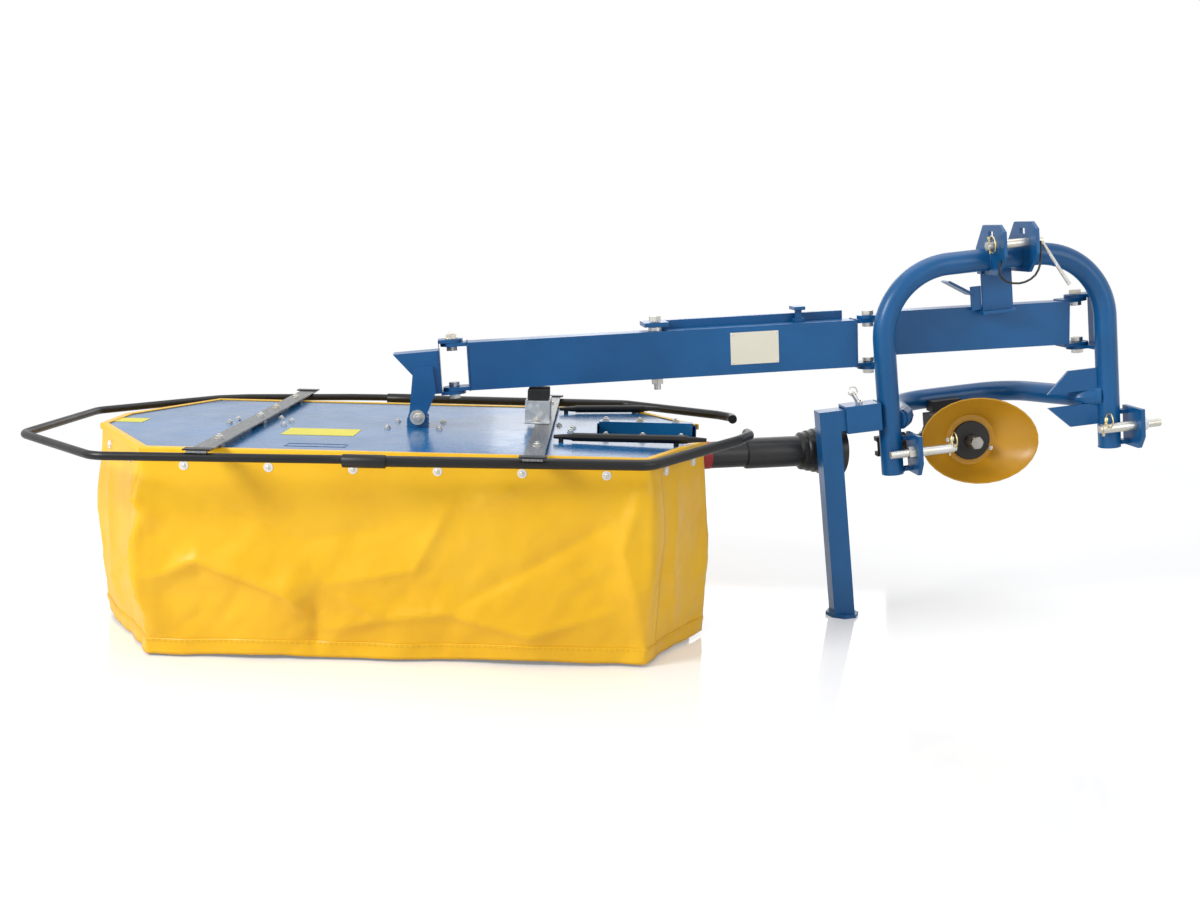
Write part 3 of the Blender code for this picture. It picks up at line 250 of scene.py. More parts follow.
def coatedCanvas(name, colour):
    # woven base cloth showing through a thick coating
    made, tree, shader, place = blankFinish(name, colour, 0.38)
    shadeFold = tuple(c * f for c, f in zip(colour, (0.93, 0.89, 0.8)))
    pale = tuple(min(1, c * f + 0.01) for c, f in zip(colour, (1.04, 1.06, 1.6)))
    tone = ramp(tree, noiseNode(tree, place, 4.2, 7, 0.6), (0.30, shadeFold), (0.52, colour), (0.78, pale))
    grime = ramp(tree, noiseNode(tree, place, 16, 9, 0.72), (0.60, (0, 0, 0)), (0.86, (1, 1, 1)))
    tone = blendColours(tree, spread(tree, grime, 0, 0.10), tone, (0.34, 0.20, 0.02))
    tree.links.new(tone, shader.inputs["Base Color"])
    weave = None
    for turn in (0, 90):
        mapping = tree.nodes.new("ShaderNodeMapping")
        mapping.inputs["Rotation"].default_value = (radians(turn), radians(turn), radians(8))
        tree.links.new(place, mapping.inputs["Vector"])
        threads = tree.nodes.new("ShaderNodeTexWave")
        threads.inputs["Scale"].default_value = 260
        threads.inputs["Distortion"].default_value = 0.6
        tree.links.new(mapping.outputs["Vector"], threads.inputs["Vector"])
        weave = addBump(tree, shader, threads.outputs["Fac"], 0.06, 0.0004, weave)
    weave = addBump(tree, shader, noiseNode(tree, place, 38, 4), 0.12, 0.002, weave)
    addBump(tree, shader, noiseNode(tree, place, 8, 4, 0.5, (1, 1, 0.6)), 0.16, 0.010, weave)
    tree.links.new(spread(tree, noiseNode(tree, place, 13, 4), 0.30, 0.50), shader.inputs["Roughness"])
    shader.inputs["Sheen Weight"].default_value = 0.05
    return made


def brushedStrap(name):
    made, tree, shader, place = blankFinish(name, (0.20, 0.21, 0.22), 0.42, 0.85)
    lines = noiseNode(tree, place, 30, 5, 0.6, (14, 0.8, 1))
    tree.links.new(ramp(tree, lines, (0.3, (0.12, 0.125, 0.13)), (0.75, (0.33, 0.34, 0.35))),
                   shader.inputs["Base Color"])
    addBump(tree, shader, lines, 0.25, 0.0006)
    return made


bluePaint = enamel("blue enamel", (0.001, 0.092, 0.265), 0.30, 0.18, 0.12)
deckPaint = enamel("deck enamel", (0.006, 0.125, 0.330), 0.24, 0.2, 0.25)
blackPaint = enamel("black enamel", (0.003, 0.003, 0.003), 0.34, 0.3, 0.0)
drumPaint = enamel("drum enamel", (0.78, 0.42, 0.012), 0.34, 0.12, 0.2)
canvas = coatedCanvas("coated canvas", (0.88, 0.490, 0.002))
canvasHem = coatedCanvas("canvas hem", (0.90, 0.505, 0.003))
zinc = platedSteel("zinc plate", (0.66, 0.67, 0.68))
yellowZinc = platedSteel("yellow zinc", (0.66, 0.58, 0.34), 0.30, (0.75, 0.60, 0.25))
galvanised = platedSteel("galvanised sheet", (0.52, 0.54, 0.56), 0.42, (0.66, 0.68, 0.70), 0.6)
wornSteel = platedSteel("worn steel", (0.40, 0.39, 0.37), 0.40, (0.28, 0.25, 0.22))
strapSteel = brushedStrap("strap steel")
castIron = casting("black casting", (0.012, 0.012, 0.013))
rubber = casting("rubber", (0.010, 0.010, 0.010), 0.85, 300, 0.0004)
blackPlastic = moulded("black guard plastic", (0.010, 0.010, 0.011), 0.36)
ochrePlastic = moulded("ochre guard plastic", (0.60, 0.300, 0.012), 0.34)
redPlastic = moulded("red band", (0.42, 0.010, 0.012), 0.4)
whiteLabel = moulded("blank white label", (0.78, 0.78, 0.76), 0.35, 200, 0.05)
creamPlate = moulded("blank cream plate", (0.84, 0.80, 0.66), 0.45, 200, 0.05)
paleSticker = moulded("pale yellow sticker", (0.74, 0.66, 0.08), 0.55, 200, 0.08)
threadFinish = moulded("sewing thread", (0.74, 0.42, 0.02), 0.6, 300, 0.2)
weldSteel = casting("painted weld", (0.006, 0.070, 0.195), 0.40, 90, 0.001)
print("finishes made:", len(bpy.data.materials))


# Making pieces

def fromMesh(name, shape, material, body, smooth=35):
    mesh = bpy.data.meshes.new(name)
    bmesh.ops.recalc_face_normals(shape, faces=shape.faces)
    shape.to_mesh(mesh)
    shape.free()
    made = placed(name, mesh)
    mesh.materials.append(material)
    if smooth:
        mesh.shade_smooth()
        mesh.set_sharp_from_angle(angle=radians(smooth))
    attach(made, body)
    return made


def bevelled(made, width, segments=2, angle=30):
    edge = made.modifiers.new("soft edges", "BEVEL")
    edge.width = width
    edge.segments = segments
    edge.limit_method = "ANGLE"
    edge.angle_limit = radians(angle)
    edge.use_clamp_overlap = True
    made.data.shade_smooth()
    lit = made.modifiers.new("even light", "WEIGHTED_NORMAL")
    lit.keep_sharp = False
    return made


def refined(node, material, width=0.0016, segments=2):
    # the CAD node's own shape with its sharp edges rounded as paint rounds them
    source = nodes[node]
    shape = bmesh.new()
    shape.from_mesh(source.data)
    bmesh.ops.remove_doubles(shape, verts=shape.verts, dist=0.00002)
    bmesh.ops.dissolve_limit(shape, angle_limit=radians(1.5), verts=shape.verts, edges=shape.edges)
    made = fromMesh(node + "_finished", shape, material, source["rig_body"], 0)
    bevelled(made, width, segments)
    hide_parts(node)


def pipe(name, points, radius, material, body, where, bend=0.0, steps=10):
    # a round bar or tube along a route, with rounded corners and flat ends
    route = [Vector(p) for p in points]
    if bend:
        turned = [route[0]]
        for before, corner, after in zip(route, route[1:], route[2:]):
            into, out = (before - corner).normalized(), (after - corner).normalized()
            half = into.angle(out) / 2
            reach = min(bend * cos(half) / sin(half), 0.47 * (before - corner).length,
                        0.47 * (after - corner).length)
            first, last = into * reach, out * reach
            centre = (into + out).normalized() * (reach / cos(half))
            sweep = pi - 2 * half
            for step in range(steps + 1):
                part = step / steps
                arm = (first - centre) * sin((1 - part) * sweep) + (last - centre) * sin(part * sweep)
                turned.append(corner + centre + arm / sin(sweep))
        turned.append(route[-1])
        route = turned
    curve = bpy.data.curves.new(name, "CURVE")
    curve.dimensions = "3D"
    curve.bevel_depth = radius
    curve.bevel_resolution = 7
    curve.use_fill_caps = True
    line = curve.splines.new("POLY")
    line.points.add(len(route) - 1)
    for knot, point in zip(line.points, route):
        knot.co = (*(where @ point), 1)
    made = placed(name, curve)
    curve.materials.append(material)
    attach(made, body)
    return made


def addSkin(shape, rings):
    # faces from ring to ring, and one on each end
    sides = len(rings[0])
    for ring, following in zip(rings, rings[1:]):
        for i in range(sides):
            j = (i + 1) % sides
            shape.faces.new((ring[i], ring[j], following[j], following[i]))
    shape.faces.new(rings[0])
    shape.faces.new(rings[-1])


def addLathe(shape, profile, at, axis, sides=24):
    # a turned piece; the profile's points are (radius, distance along the axis)
    turn = Vector(axis).to_track_quat("Z", "Y").to_matrix().to_4x4()
    where = Matrix.Translation(at) @ turn
    rings = []
    for radius, along in profile:
        ring = [shape.verts.new(where @ Vector((radius * cos(2 * pi * i / sides),
                                                radius * sin(2 * pi * i / sides), along)))
                for i in range(sides)]
        rings.append(ring)
    addSkin(shape, rings)


def addBolt(shape, at, axis, across=0.017, head=0.007, washer=0.0015):
    # a hex head with its chamfer on a round washer
    radius = across / 2 / cos(pi / 6)
    rim = radius * 1.22
    addLathe(shape, [(rim, 0.0001), (rim, washer), (radius * 1.05, washer)], at, axis, 20)
    addLathe(shape, [(radius, washer), (radius, washer + head * 0.82), (radius * 0.88, washer + head)],
             at, axis, 6)
    addLathe(shape, [(radius * 0.5, washer + head * 0.9), (radius * 0.5, washer + head * 1.55),
                     (radius * 0.42, washer + head * 1.7)], at, axis, 14)


def addDome(shape, at, axis, radius, height):
    steps = [(radius * cos(a), height * sin(a)) for a in (0.0, 0.35, 0.7, 1.05, 1.35)]
    addLathe(shape, [(radius, -0.0004), *steps], at, axis, 18)


def addBlock(shape, low, high, where):
    corners = [shape.verts.new(where @ Vector((x, y, z)))
               for x in (low[0], high[0]) for y in (low[1], high[1]) for z in (low[2], high[2])]
    for face in ((0, 1, 3, 2), (4, 6, 7, 5), (0, 4, 5, 1), (2, 3, 7, 6), (0, 2, 6, 4), (1, 5, 7, 3)):
        shape.faces.new([corners[i] for i in face])


def addWeld(shape, start, end, where, size):
    # a bead of overlapping ripples along a joint
    sides, ripple = 8, 0.0032
    a, b = where @ Vector(start), where @ Vector(end)
    length = (b - a).length
    count = max(3, int(length / ripple))
    along = (b - a).normalized()
    side = along.orthogonal().normalized()
    lift = along.cross(side)
    rings = []
    for i in range(count + 1):
        swell = size * (0.72 + 0.28 * abs(sin(i * pi / 2)) + 0.12 * noise.noise(a * 40 + along * i))
        if i in (0, count):
            swell *= 0.5
        at = a + along * (length * i / count)
        rings.append([shape.verts.new(at + (side * cos(t) + lift * sin(t)) * swell)
                      for t in (2 * pi * k / sides for k in range(sides))])
    addSkin(shape, rings)


# Deck

deckShape = dict(halfDepth=0.46, leftHalf=0.095, rightHalf=0.154, nearLeft=0.235, farLeft=0.162,
                 nearRight=0.158, farRight=0.201,
                 stickers=[(-0.310, -0.205, -0.115, -0.090), (-0.815, -0.050, -0.735, 0.020)],
                 outline=[(-0.255, -0.385, -0.105, -0.380), (-0.255, -0.345, -0.105, -0.340),
                          (-0.258, -0.385, -0.253, -0.340), (-0.107, -0.385, -0.102, -0.340)],
                 railBolts=(0.560, 0.660, 0.765), railMiddles=(-0.135, 0.160),
                 middleBolts=[(-0.050, -0.050), (0.095, -0.050), (-0.040, 0.080), (0.090, 0.080)])

halfLength = (deckHigh.x - deckLow.x) / 2
deckCorners = [
    (-halfLength, -deckShape["leftHalf"]), (-halfLength + deckShape["nearLeft"], -deckShape["halfDepth"]),
    (halfLength - deckShape["nearRight"], -deckShape["halfDepth"]), (halfLength, -deckShape["rightHalf"]),
    (halfLength, deckShape["rightHalf"]), (halfLength - deckShape["farRight"], deckShape["halfDepth"]),
    (-halfLength + deckShape["farLeft"], deckShape["halfDepth"]), (-halfLength, deckShape["leftHalf"])]
rotorX = {side: joints[side + "_rotor_spin"]["pos_m"][0] - deckMiddle.x for side in ("left", "right")}


def makeDeck():
    refined("deck", deckPaint, 0.0022, 3)
    refined("pivot_lugs", deckPaint, 0.0018)
    refined("near_rail", deckPaint, 0.0014)
    refined("far_rail", deckPaint, 0.0014)
    shape = bmesh.new()
    for x0, y0, x1, y1 in deckShape["stickers"]:
        addBlock(shape, (x0, y0, 0.0002), (x1, y1, 0.0009), levelFrame)
    fromMesh("deck_stickers", shape, paleSticker, "deck_frame")
    shape = bmesh.new()
    for x0, y0, x1, y1 in deckShape["outline"]:
        addBlock(shape, (x0, y0, 0.0002), (x1, y1, 0.0008), levelFrame)
    fromMesh("deck_outline_label", shape, bluePaint, "deck_frame")
    shape = bmesh.new()
    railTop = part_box("near_rail")[1].z - deckHigh.z
    for x in deckShape["railBolts"]:
        for y in deckShape["railMiddles"]:
            addBolt(shape, levelFrame @ Vector((x, y, railTop)), (0, 0, 1), 0.016, 0.006)
    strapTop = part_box("left_strap")[1].z - deckHigh.z
    for x, y in ((rotorX["left"], 0.0), (rotorX["left"], 0.174), (rotorX["left"], -0.400),
                 (rotorX["left"], 0.420), (rotorX["right"], -0.400), (rotorX["right"], 0.420)):
        addBolt(shape, levelFrame @ Vector((x, y, strapTop)), (0, 0, 1), 0.018, 0.006)
    for x, y in deckShape["middleBolts"]:
        addBolt(shape, levelFrame @ Vector((x, y, 0.0)), (0, 0, 1), 0.014, 0.005)
    count, circle = 8, 0.085
    for turn in range(count):
        for side in ("left", "right"):
            angle = 2 * pi * turn / count + 0.3
            at = Vector((rotorX[side] + circle * cos(angle), circle * sin(angle), 0.0))
            # none under a strap, and on the right rotor only outside it
            if abs(at.x - rotorX[side]) > 0.036 and not (side == "right" and at.x < rotorX["right"] + 0.03):
                addBolt(shape, levelFrame @ at, (0, 0, 1), 0.014, 0.005)
    fromMesh("deck_bolts", shape, zinc, "deck_frame", 30)
    print("deck made")


def makeStraps():
    for node, finish, width in (("left_strap", strapSteel, 0.0012), ("right_strap", strapSteel, 0.0012),
                                ("near_brace", blackPaint, 0.0008), ("far_brace", blackPaint, 0.0008)):
        refined(node, finish, width)
    refined("rest_bracket", galvanised, 0.0012)
    refined("rest_block", rubber, 0.0030, 3)
    shape = bmesh.new()
    low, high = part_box("rest_bracket")
    lip, inset = low.z + 0.005, 0.013
    for y in (low.y + inset, high.y - inset):
        addBolt(shape, Vector(((low.x + high.x) / 2, y, lip)), (0, 0, 1), 0.016, 0.007)
    fromMesh("bracket_bolts", shape, zinc, "deck_frame", 30)
    shape = bmesh.new()
    clamp = dict(half=0.034, depth=0.030, gap=0.0002, top=0.0042)
    for strap in ("left_strap", "right_strap"):
        low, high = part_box(strap)
        middle = (low.x + high.x) / 2
        for y in (low.y, high.y - clamp["depth"]):
            addBlock(shape, (middle - clamp["half"], y, high.z + clamp["gap"]),
                     (middle + clamp["half"], y + clamp["depth"], high.z + clamp["top"]), Matrix.Identity(4))
    bevelled(fromMesh("strap_clamps", shape, blackPaint, "deck_frame"), 0.0012)
    print("straps and bracket made")


guardShape = dict(thin=0.0107, thick=0.0135, sleeve=0.0165, under=0.012, gap=0.0003, nearY=-0.566, farY=0.600,
                  jointNear=-0.0105, jointFar=-0.0945,
                  shift=0.0255)     # from the deck's middle to the point that the guards are set out from


def makeGuards():
    thinZ = guardShape["under"] - guardShape["thin"] - guardShape["gap"]
    thickZ = guardShape["under"] - guardShape["thick"] - guardShape["gap"]
    nearX, farX = guardShape["jointNear"], guardShape["jointFar"]
    nearY, farY = guardShape["nearY"], guardShape["farY"]
    shift = guardShape["shift"]
    outer = [(nearX, nearY), (nearX - 0.080, nearY), (-0.690 + shift, -0.596), (-0.985 + shift, -0.300),
             (-0.960 + shift, 0.150), (-0.700 + shift, 0.478), (-0.620 + shift, 0.520),
             (-0.300 + shift, 0.590), (farX - 0.080, farY), (farX, farY)]
    left = pipe("left_guard_tube", [(x, y, thinZ) for x, y in outer], guardShape["thin"], blackPaint,
                "deck_frame", levelFrame, 0.07, 8)
    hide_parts("left_guard")
    near = pipe("near_guard_tube", [
        (nearX - 0.055, nearY, thickZ), (0.645 + shift, -0.528, thickZ),
        (0.885 + shift, -0.235, thickZ + 0.02), (0.925 + shift, -0.150, thickZ + 0.022),
        (0.920 + shift, -0.115, thickZ + 0.022)],
        guardShape["thick"], blackPaint, "deck_frame", levelFrame, 0.06, 8)
    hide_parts("near_guard")
    far = pipe("far_guard_tube", [
        (farX - 0.055, farY, thickZ), (0.600 + shift, farY, thickZ), (0.885 + shift, 0.395, thickZ),
        (0.925 + shift, 0.345, thickZ), (0.922 + shift, 0.305, thickZ)],
        guardShape["thick"], blackPaint, "deck_frame", levelFrame, 0.06, 8)
    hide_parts("far_guard")
    shape = bmesh.new()
    for x, y in ((nearX, nearY), (farX, farY)):
        start = levelFrame @ Vector((x - 0.062, y, thickZ))
        addLathe(shape, [(guardShape["thin"], -0.002), (guardShape["sleeve"] - 0.001, 0.0),
                         (guardShape["sleeve"], 0.002), (guardShape["sleeve"], 0.102),
                         (guardShape["thick"], 0.105)], start, (1, 0, 0), 28)
    fromMesh("guard_sleeves", shape, blackPaint, "deck_frame")
    print("guards made")


# Skirt: five curtains that share one hanging surface, lapped at the deck's corners

skirtShape = dict(top=-0.006, bottom=-0.527, bulge=0.013, thickness=0.0016, cell=0.0088, hem=0.042,
                  lap=0.055, clear=0.0024, outer=0.0040, washerDown=-0.041, washerStep=0.205,
                  creaseGain=1.7, cornerSwell=0.010, cornerWidth=0.032, fade=2.718)
# a crease is a line of (metres along the near side from its left corner, metres down) points
creases = [
    dict(line=((-0.06, 0.03), (0.02, 0.16), (-0.03, 0.30), (0.03, 0.46)), depth=0.013, width=0.026),
    dict(line=((0.02, 0.32), (0.14, 0.27), (0.36, 0.355), (0.415, 0.415)), depth=0.017, width=0.032),
    dict(line=((0.42, 0.36), (0.425, 0.50)), depth=-0.010, width=0.022),
    dict(line=((0.43, 0.45), (0.60, 0.415), (0.76, 0.395), (0.97, 0.455), (1.16, 0.39)),
         depth=0.013, width=0.030),
    dict(line=((0.45, 0.33), (0.68, 0.285), (0.78, 0.10)), depth=0.008, width=0.024),
    dict(line=((0.83, 0.115), (0.93, 0.075)), depth=0.009, width=0.018),
    dict(line=((0.76, 0.395), (0.95, 0.29), (1.18, 0.15)), depth=-0.009, width=0.045),
    dict(line=((0.49, 0.36), (0.60, 0.41)), depth=0.006, width=0.014),
    dict(line=((1.24, 0.04), (1.20, 0.22), (1.25, 0.46)), depth=0.012, width=0.030),
    dict(line=((0.10, 0.10), (0.40, 0.22), (0.66, 0.17)), depth=-0.006, width=0.060),
    dict(line=((-0.30, 0.05), (-0.24, 0.30), (-0.28, 0.45)), depth=0.012, width=0.040),
    dict(line=((-0.60, 0.08), (-0.55, 0.28), (-0.62, 0.47)), depth=-0.010, width=0.045),
    dict(line=((1.40, 0.06), (1.37, 0.30), (1.42, 0.48)), depth=0.010, width=0.035),
    dict(line=((-1.10, 0.10), (-1.30, 0.30), (-1.24, 0.46)), depth=0.013, width=0.040),
    dict(line=((-1.60, 0.06), (-1.75, 0.33), (-2.00, 0.42)), depth=0.013, width=0.045)]

skirtOrder = (4, 5, 6, 7, 0, 1, 2, 3)
skirtPlan = [Vector(deckCorners[i]) for i in skirtOrder]
sideLengths = [(b - a).length for a, b in zip(skirtPlan, skirtPlan[1:])]
cornerRuns = [sum(sideLengths[:i]) for i in range(len(skirtPlan))]
nearStart = cornerRuns[skirtOrder.index(1)]
skirtHeight = skirtShape["top"] - skirtShape["bottom"]


def sideAt(run):
    for start, length, a, b in zip(cornerRuns, sideLengths, skirtPlan, skirtPlan[1:]):
        if run <= start + length or b is skirtPlan[-1]:
            return a.lerp(b, (run - start) / length), (b - a).normalized()


def outwardAt(run):
    # the direction turns smoothly round each corner
    turn = Vector((0, 0))
    for step in (-0.048, -0.032, -0.016, 0, 0.016, 0.032, 0.048):
        way = sideAt(max(0, min(cornerRuns[-1], run + step)))[1]
        turn += Vector((way.y, -way.x))
    return turn.normalized()


def creaseAt(crease, point):
    best, side, share = 1e9, 0, 0
    pairs = list(zip(crease["line"], crease["line"][1:]))
    for index, (a, b) in enumerate(pairs):
        a, b = Vector(a), Vector(b)
        span = b - a
        part = max(0.0, min(1.0, (point - a).dot(span) / span.length_squared))
        away = point - (a + span * part)
        if away.length < best:
            best = away.length
            side = away.x * span.y - away.y * span.x
            share = (index + part) / len(pairs)
    reach = best / crease["width"] * (0.75 if side > 0 else 1.5)      # one flank is steeper
    if reach > 4:
        return 0.0
    taper = min(1, share / 0.25, (1 - share) / 0.25) ** 0.7 if 0 < share < 1 else 0
    return skirtShape["creaseGain"] * crease["depth"] * (0.25 + 0.75 * taper) * skirtShape["fade"] ** (-reach)


def drape(run, metres):
    # how far the cloth stands off its straight fall
    down = metres / skirtHeight
    hang = min(1, down * 1.6)
    out = skirtShape["bulge"] * sin(pi * min(1, down * 1.02)) ** 1.2
    out += 0.010 * hang * noise.noise(Vector((run * 3.0, down * 1.1, 2.0)))
    out += 0.009 * hang * noise.noise(Vector((run * 7.0 + down * 2, down * 2.6, 5.0)))
    out += 0.004 * hang * noise.noise(Vector((run * 19 + down * 6, down * 9, 7.0)))
    out += 0.0014 * hang * noise.noise(Vector((run * 46, down * 26, 11.0)))
    out += 0.005 * down * sin(run * 10.5 + 1.4 * sin(down * 3))
    for corner in cornerRuns:
        reach = (run - corner - 0.022 * sin(7 * down + corner * 3)) / skirtShape["cornerWidth"]
        swell = skirtShape["cornerSwell"] * sin(pi * min(1, down * 1.05))
        out += swell * skirtShape["fade"] ** (-reach * reach)
    point = Vector((run - nearStart, metres))
    out += sum(creaseAt(crease, point) for crease in creases) * min(1, down * 7)
    return max(-0.0005 if down < 0.10 else -0.012, out)


def skirtPoint(run, down, stand):
    at = sideAt(run)[0]
    away = outwardAt(run)
    metres = down * skirtHeight
    out = skirtShape["clear"] + stand + drape(run, metres) * min(1, 0.25 + down * 5)
    wave = 0.005 * noise.noise(Vector((run * 4.0, 3.3, 1.0))) + 0.003 * sin(run * 9)
    spot = at + away * out
    z = skirtShape["top"] - metres + wave * down * down
    return levelFrame @ Vector((spot.x, spot.y, z))


def clothGrid(name, runs, downs, stand, material, thickness):
    shape = bmesh.new()
    grid = [[shape.verts.new(skirtPoint(run, down, stand)) for run in runs] for down in downs]
    for upper, lower in zip(grid, grid[1:]):
        for k in range(len(runs) - 1):
            shape.faces.new((upper[k], lower[k], lower[k + 1], upper[k + 1]))
    area = sum(face.calc_area() for face in shape.faces)
    made = fromMesh(name, shape, material, "deck_frame", 0)
    made.data.shade_smooth()
    cloth = made.modifiers.new("cloth thickness", "SOLIDIFY")
    cloth.thickness = thickness
    cloth.offset = 0.0
    return made, area


def shares(low, high, step):
    count = max(2, round((high - low) / step))
    return [low + (high - low) * i / count for i in range(count + 1)]


def makeCurtain(name, node, low, high, stand):
    runs = shares(low, high, skirtShape["cell"])
    downs = shares(0, 1, skirtShape["cell"] / skirtHeight)
    made, area = clothGrid(name, runs, downs, stand, canvas, skirtShape["thickness"])
    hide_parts(node)
    # the hem is a second layer folded up and sewn along the bottom
    hemTop = 1 - skirtShape["hem"] / skirtHeight
    hem = clothGrid(name + "_hem", runs, shares(hemTop, 1, skirtShape["cell"] / skirtHeight),
                    stand + 0.0019, canvasHem, 0.0014)[0]
    seam = bmesh.new()
    for offset in (0.004, 0.009):
        down = hemTop + offset / skirtHeight
        line = [skirtPoint(run, down, stand + 0.0030) for run in shares(low, high, 0.007)]
        for a, b in zip(line[::2], line[1::2]):
            addStitch(seam, a, b)
    fromMesh(name + "_stitches", seam, threadFinish, "deck_frame", 60)


def addStitch(shape, a, b, thread=0.00055):
    along = (b - a).normalized()
    side = along.orthogonal().normalized()
    lift = along.cross(side)
    ends = [[shape.verts.new(at + (side * cos(t) + lift * sin(t)) * thread)
             for t in (0, pi / 2, pi, 3 * pi / 2)] for at in (a, b)]
    addSkin(shape, ends)


def makeSkirt():
    corner = dict(zip(skirtOrder, cornerRuns))
    lap, outer = skirtShape["lap"], skirtShape["outer"]
    makeCurtain("right_back_curtain", "right_back_skirt", corner[4] + 0.010, corner[5] - 0.004, 0.0)
    makeCurtain("back_curtain", "back_skirt", corner[5] - lap, corner[6] + lap, outer)
    makeCurtain("left_curtain", "left_skirt", corner[6] + 0.004, corner[1] - 0.004, 0.0)
    makeCurtain("front_curtain", "front_skirt", corner[1] - lap, corner[2] + lap, outer)
    makeCurtain("right_front_curtain", "right_front_skirt", corner[2] + 0.004, corner[3] - 0.010, 0.0)
    makeEdging()
    makeWashers()
    print("skirt made")


def makeEdging():
    # a narrow fold of the cloth lies over the deck's rim
    edging = [(0.0006, -0.013), (0.0070, -0.013), (0.0076, -0.002), (0.0050, 0.0032), (-0.0010, 0.0040),
              (-0.0130, 0.0030), (-0.0130, 0.0006), (0.0006, 0.0006)]
    shape = bmesh.new()
    for a, b in zip(skirtPlan, skirtPlan[1:]):
        way = (b - a).normalized()
        away = Vector((way.y, -way.x))
        ends = [[shape.verts.new(levelFrame @ Vector((*(at + away * out), z))) for out, z in edging]
                for at in (a - way * 0.003, b + way * 0.003)]
        addSkin(shape, ends)
    fromMesh("skirt_edging", shape, canvasHem, "deck_frame", 30)


def makeWashers():
    washers, rivets = bmesh.new(), bmesh.new()
    down = (skirtShape["top"] - skirtShape["washerDown"]) / skirtHeight
    for start, length in zip(cornerRuns, sideLengths):
        count = max(2, round(length / skirtShape["washerStep"]))
        for k in range(count):
            run = start + length * (k + 0.5) / count
            away = Vector((*outwardAt(run), 0))
            spot = skirtPoint(run, down, 0.0048)
            addLathe(washers, [(0.0118, -0.004), (0.0118, 0.0010), (0.0108, 0.0017), (0.0045, 0.0017)],
                     spot, away, 24)
            addDome(rivets, spot + away * 0.0015, away, 0.0060, 0.0034)
    fromMesh("skirt_washers", washers, whiteLabel, "deck_frame", 30)
    fromMesh("skirt_rivets", rivets, zinc, "deck_frame", 40)


makeDeck()
makeStraps()
makeGuards()
makeSkirt()


# Rotors

rotorShape = dict(knives=3, knifeCircle=0.255, knifeBolt=0.0125, ribs=6, ribIn=0.1495, ribOut=0.158,
                  shoeBolts=6, shoeCircle=0.062, shoeTop=0.0101)


def makeRotors():
    r = rotorShape
    refined("gear_case", castIron, 0.0030, 3)
    for side in ("left", "right"):
        body = side + "_rotor"
        refined(side + "_drum", drumPaint, 0.0014)
        refined(side + "_saucer", wornSteel, 0.0012)
        centre = Vector(joints[side + "_rotor_spin"]["pos_m"])
        low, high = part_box(side + "_drum")
        phase = 0.5 if side == "left" else 0.0
        shape, ribs = bmesh.new(), bmesh.new()
        for knife in range(r["knives"]):
            angle = 2 * pi * (knife + phase) / r["knives"] + 0.26
            reach = r["knifeCircle"]
            height = low.z + r["knifeBolt"]
            at = Vector((centre.x + reach * cos(angle), centre.y + reach * sin(angle), height))
            addBolt(shape, at, (0, 0, 1), 0.024, 0.010)
            addDome(shape, at - Vector((0, 0, 0.0126)), (0, 0, -1), 0.016, 0.009)
        for rib in range(r["ribs"]):
            angle = 2 * pi * rib / r["ribs"] + 0.1
            turn = Matrix.Translation((centre.x, centre.y, 0)) @ Matrix.Rotation(angle, 4, "Z")
            addBlock(ribs, (r["ribIn"], -0.003, low.z + 0.058), (r["ribOut"], 0.003, high.z - 0.02), turn)
        fromMesh(side + "_knife_bolts", shape, wornSteel, body, 30)
        bevelled(fromMesh(side + "_drum_ribs", ribs, drumPaint, body), 0.0015)
        shape = bmesh.new()
        for turn in range(r["shoeBolts"]):
            angle = 2 * pi * turn / r["shoeBolts"]
            reach = r["shoeCircle"]
            at = Vector((centre.x + reach * cos(angle), centre.y + reach * sin(angle), r["shoeTop"]))
            addBolt(shape, at, (0, 0, 1), 0.013, 0.005)
        fromMesh(side + "_shoe_bolts", shape, zinc, side + "_shoe", 30)
    print("rotors made")


# Arm and cross-beam

armShape = dict(middle=0.132, height=0.135, halfWidth=0.040, headHinge=0.108, welds=(0.152, 1.268),
                plate=(0.898, 1.038, 0.092, 0.184))


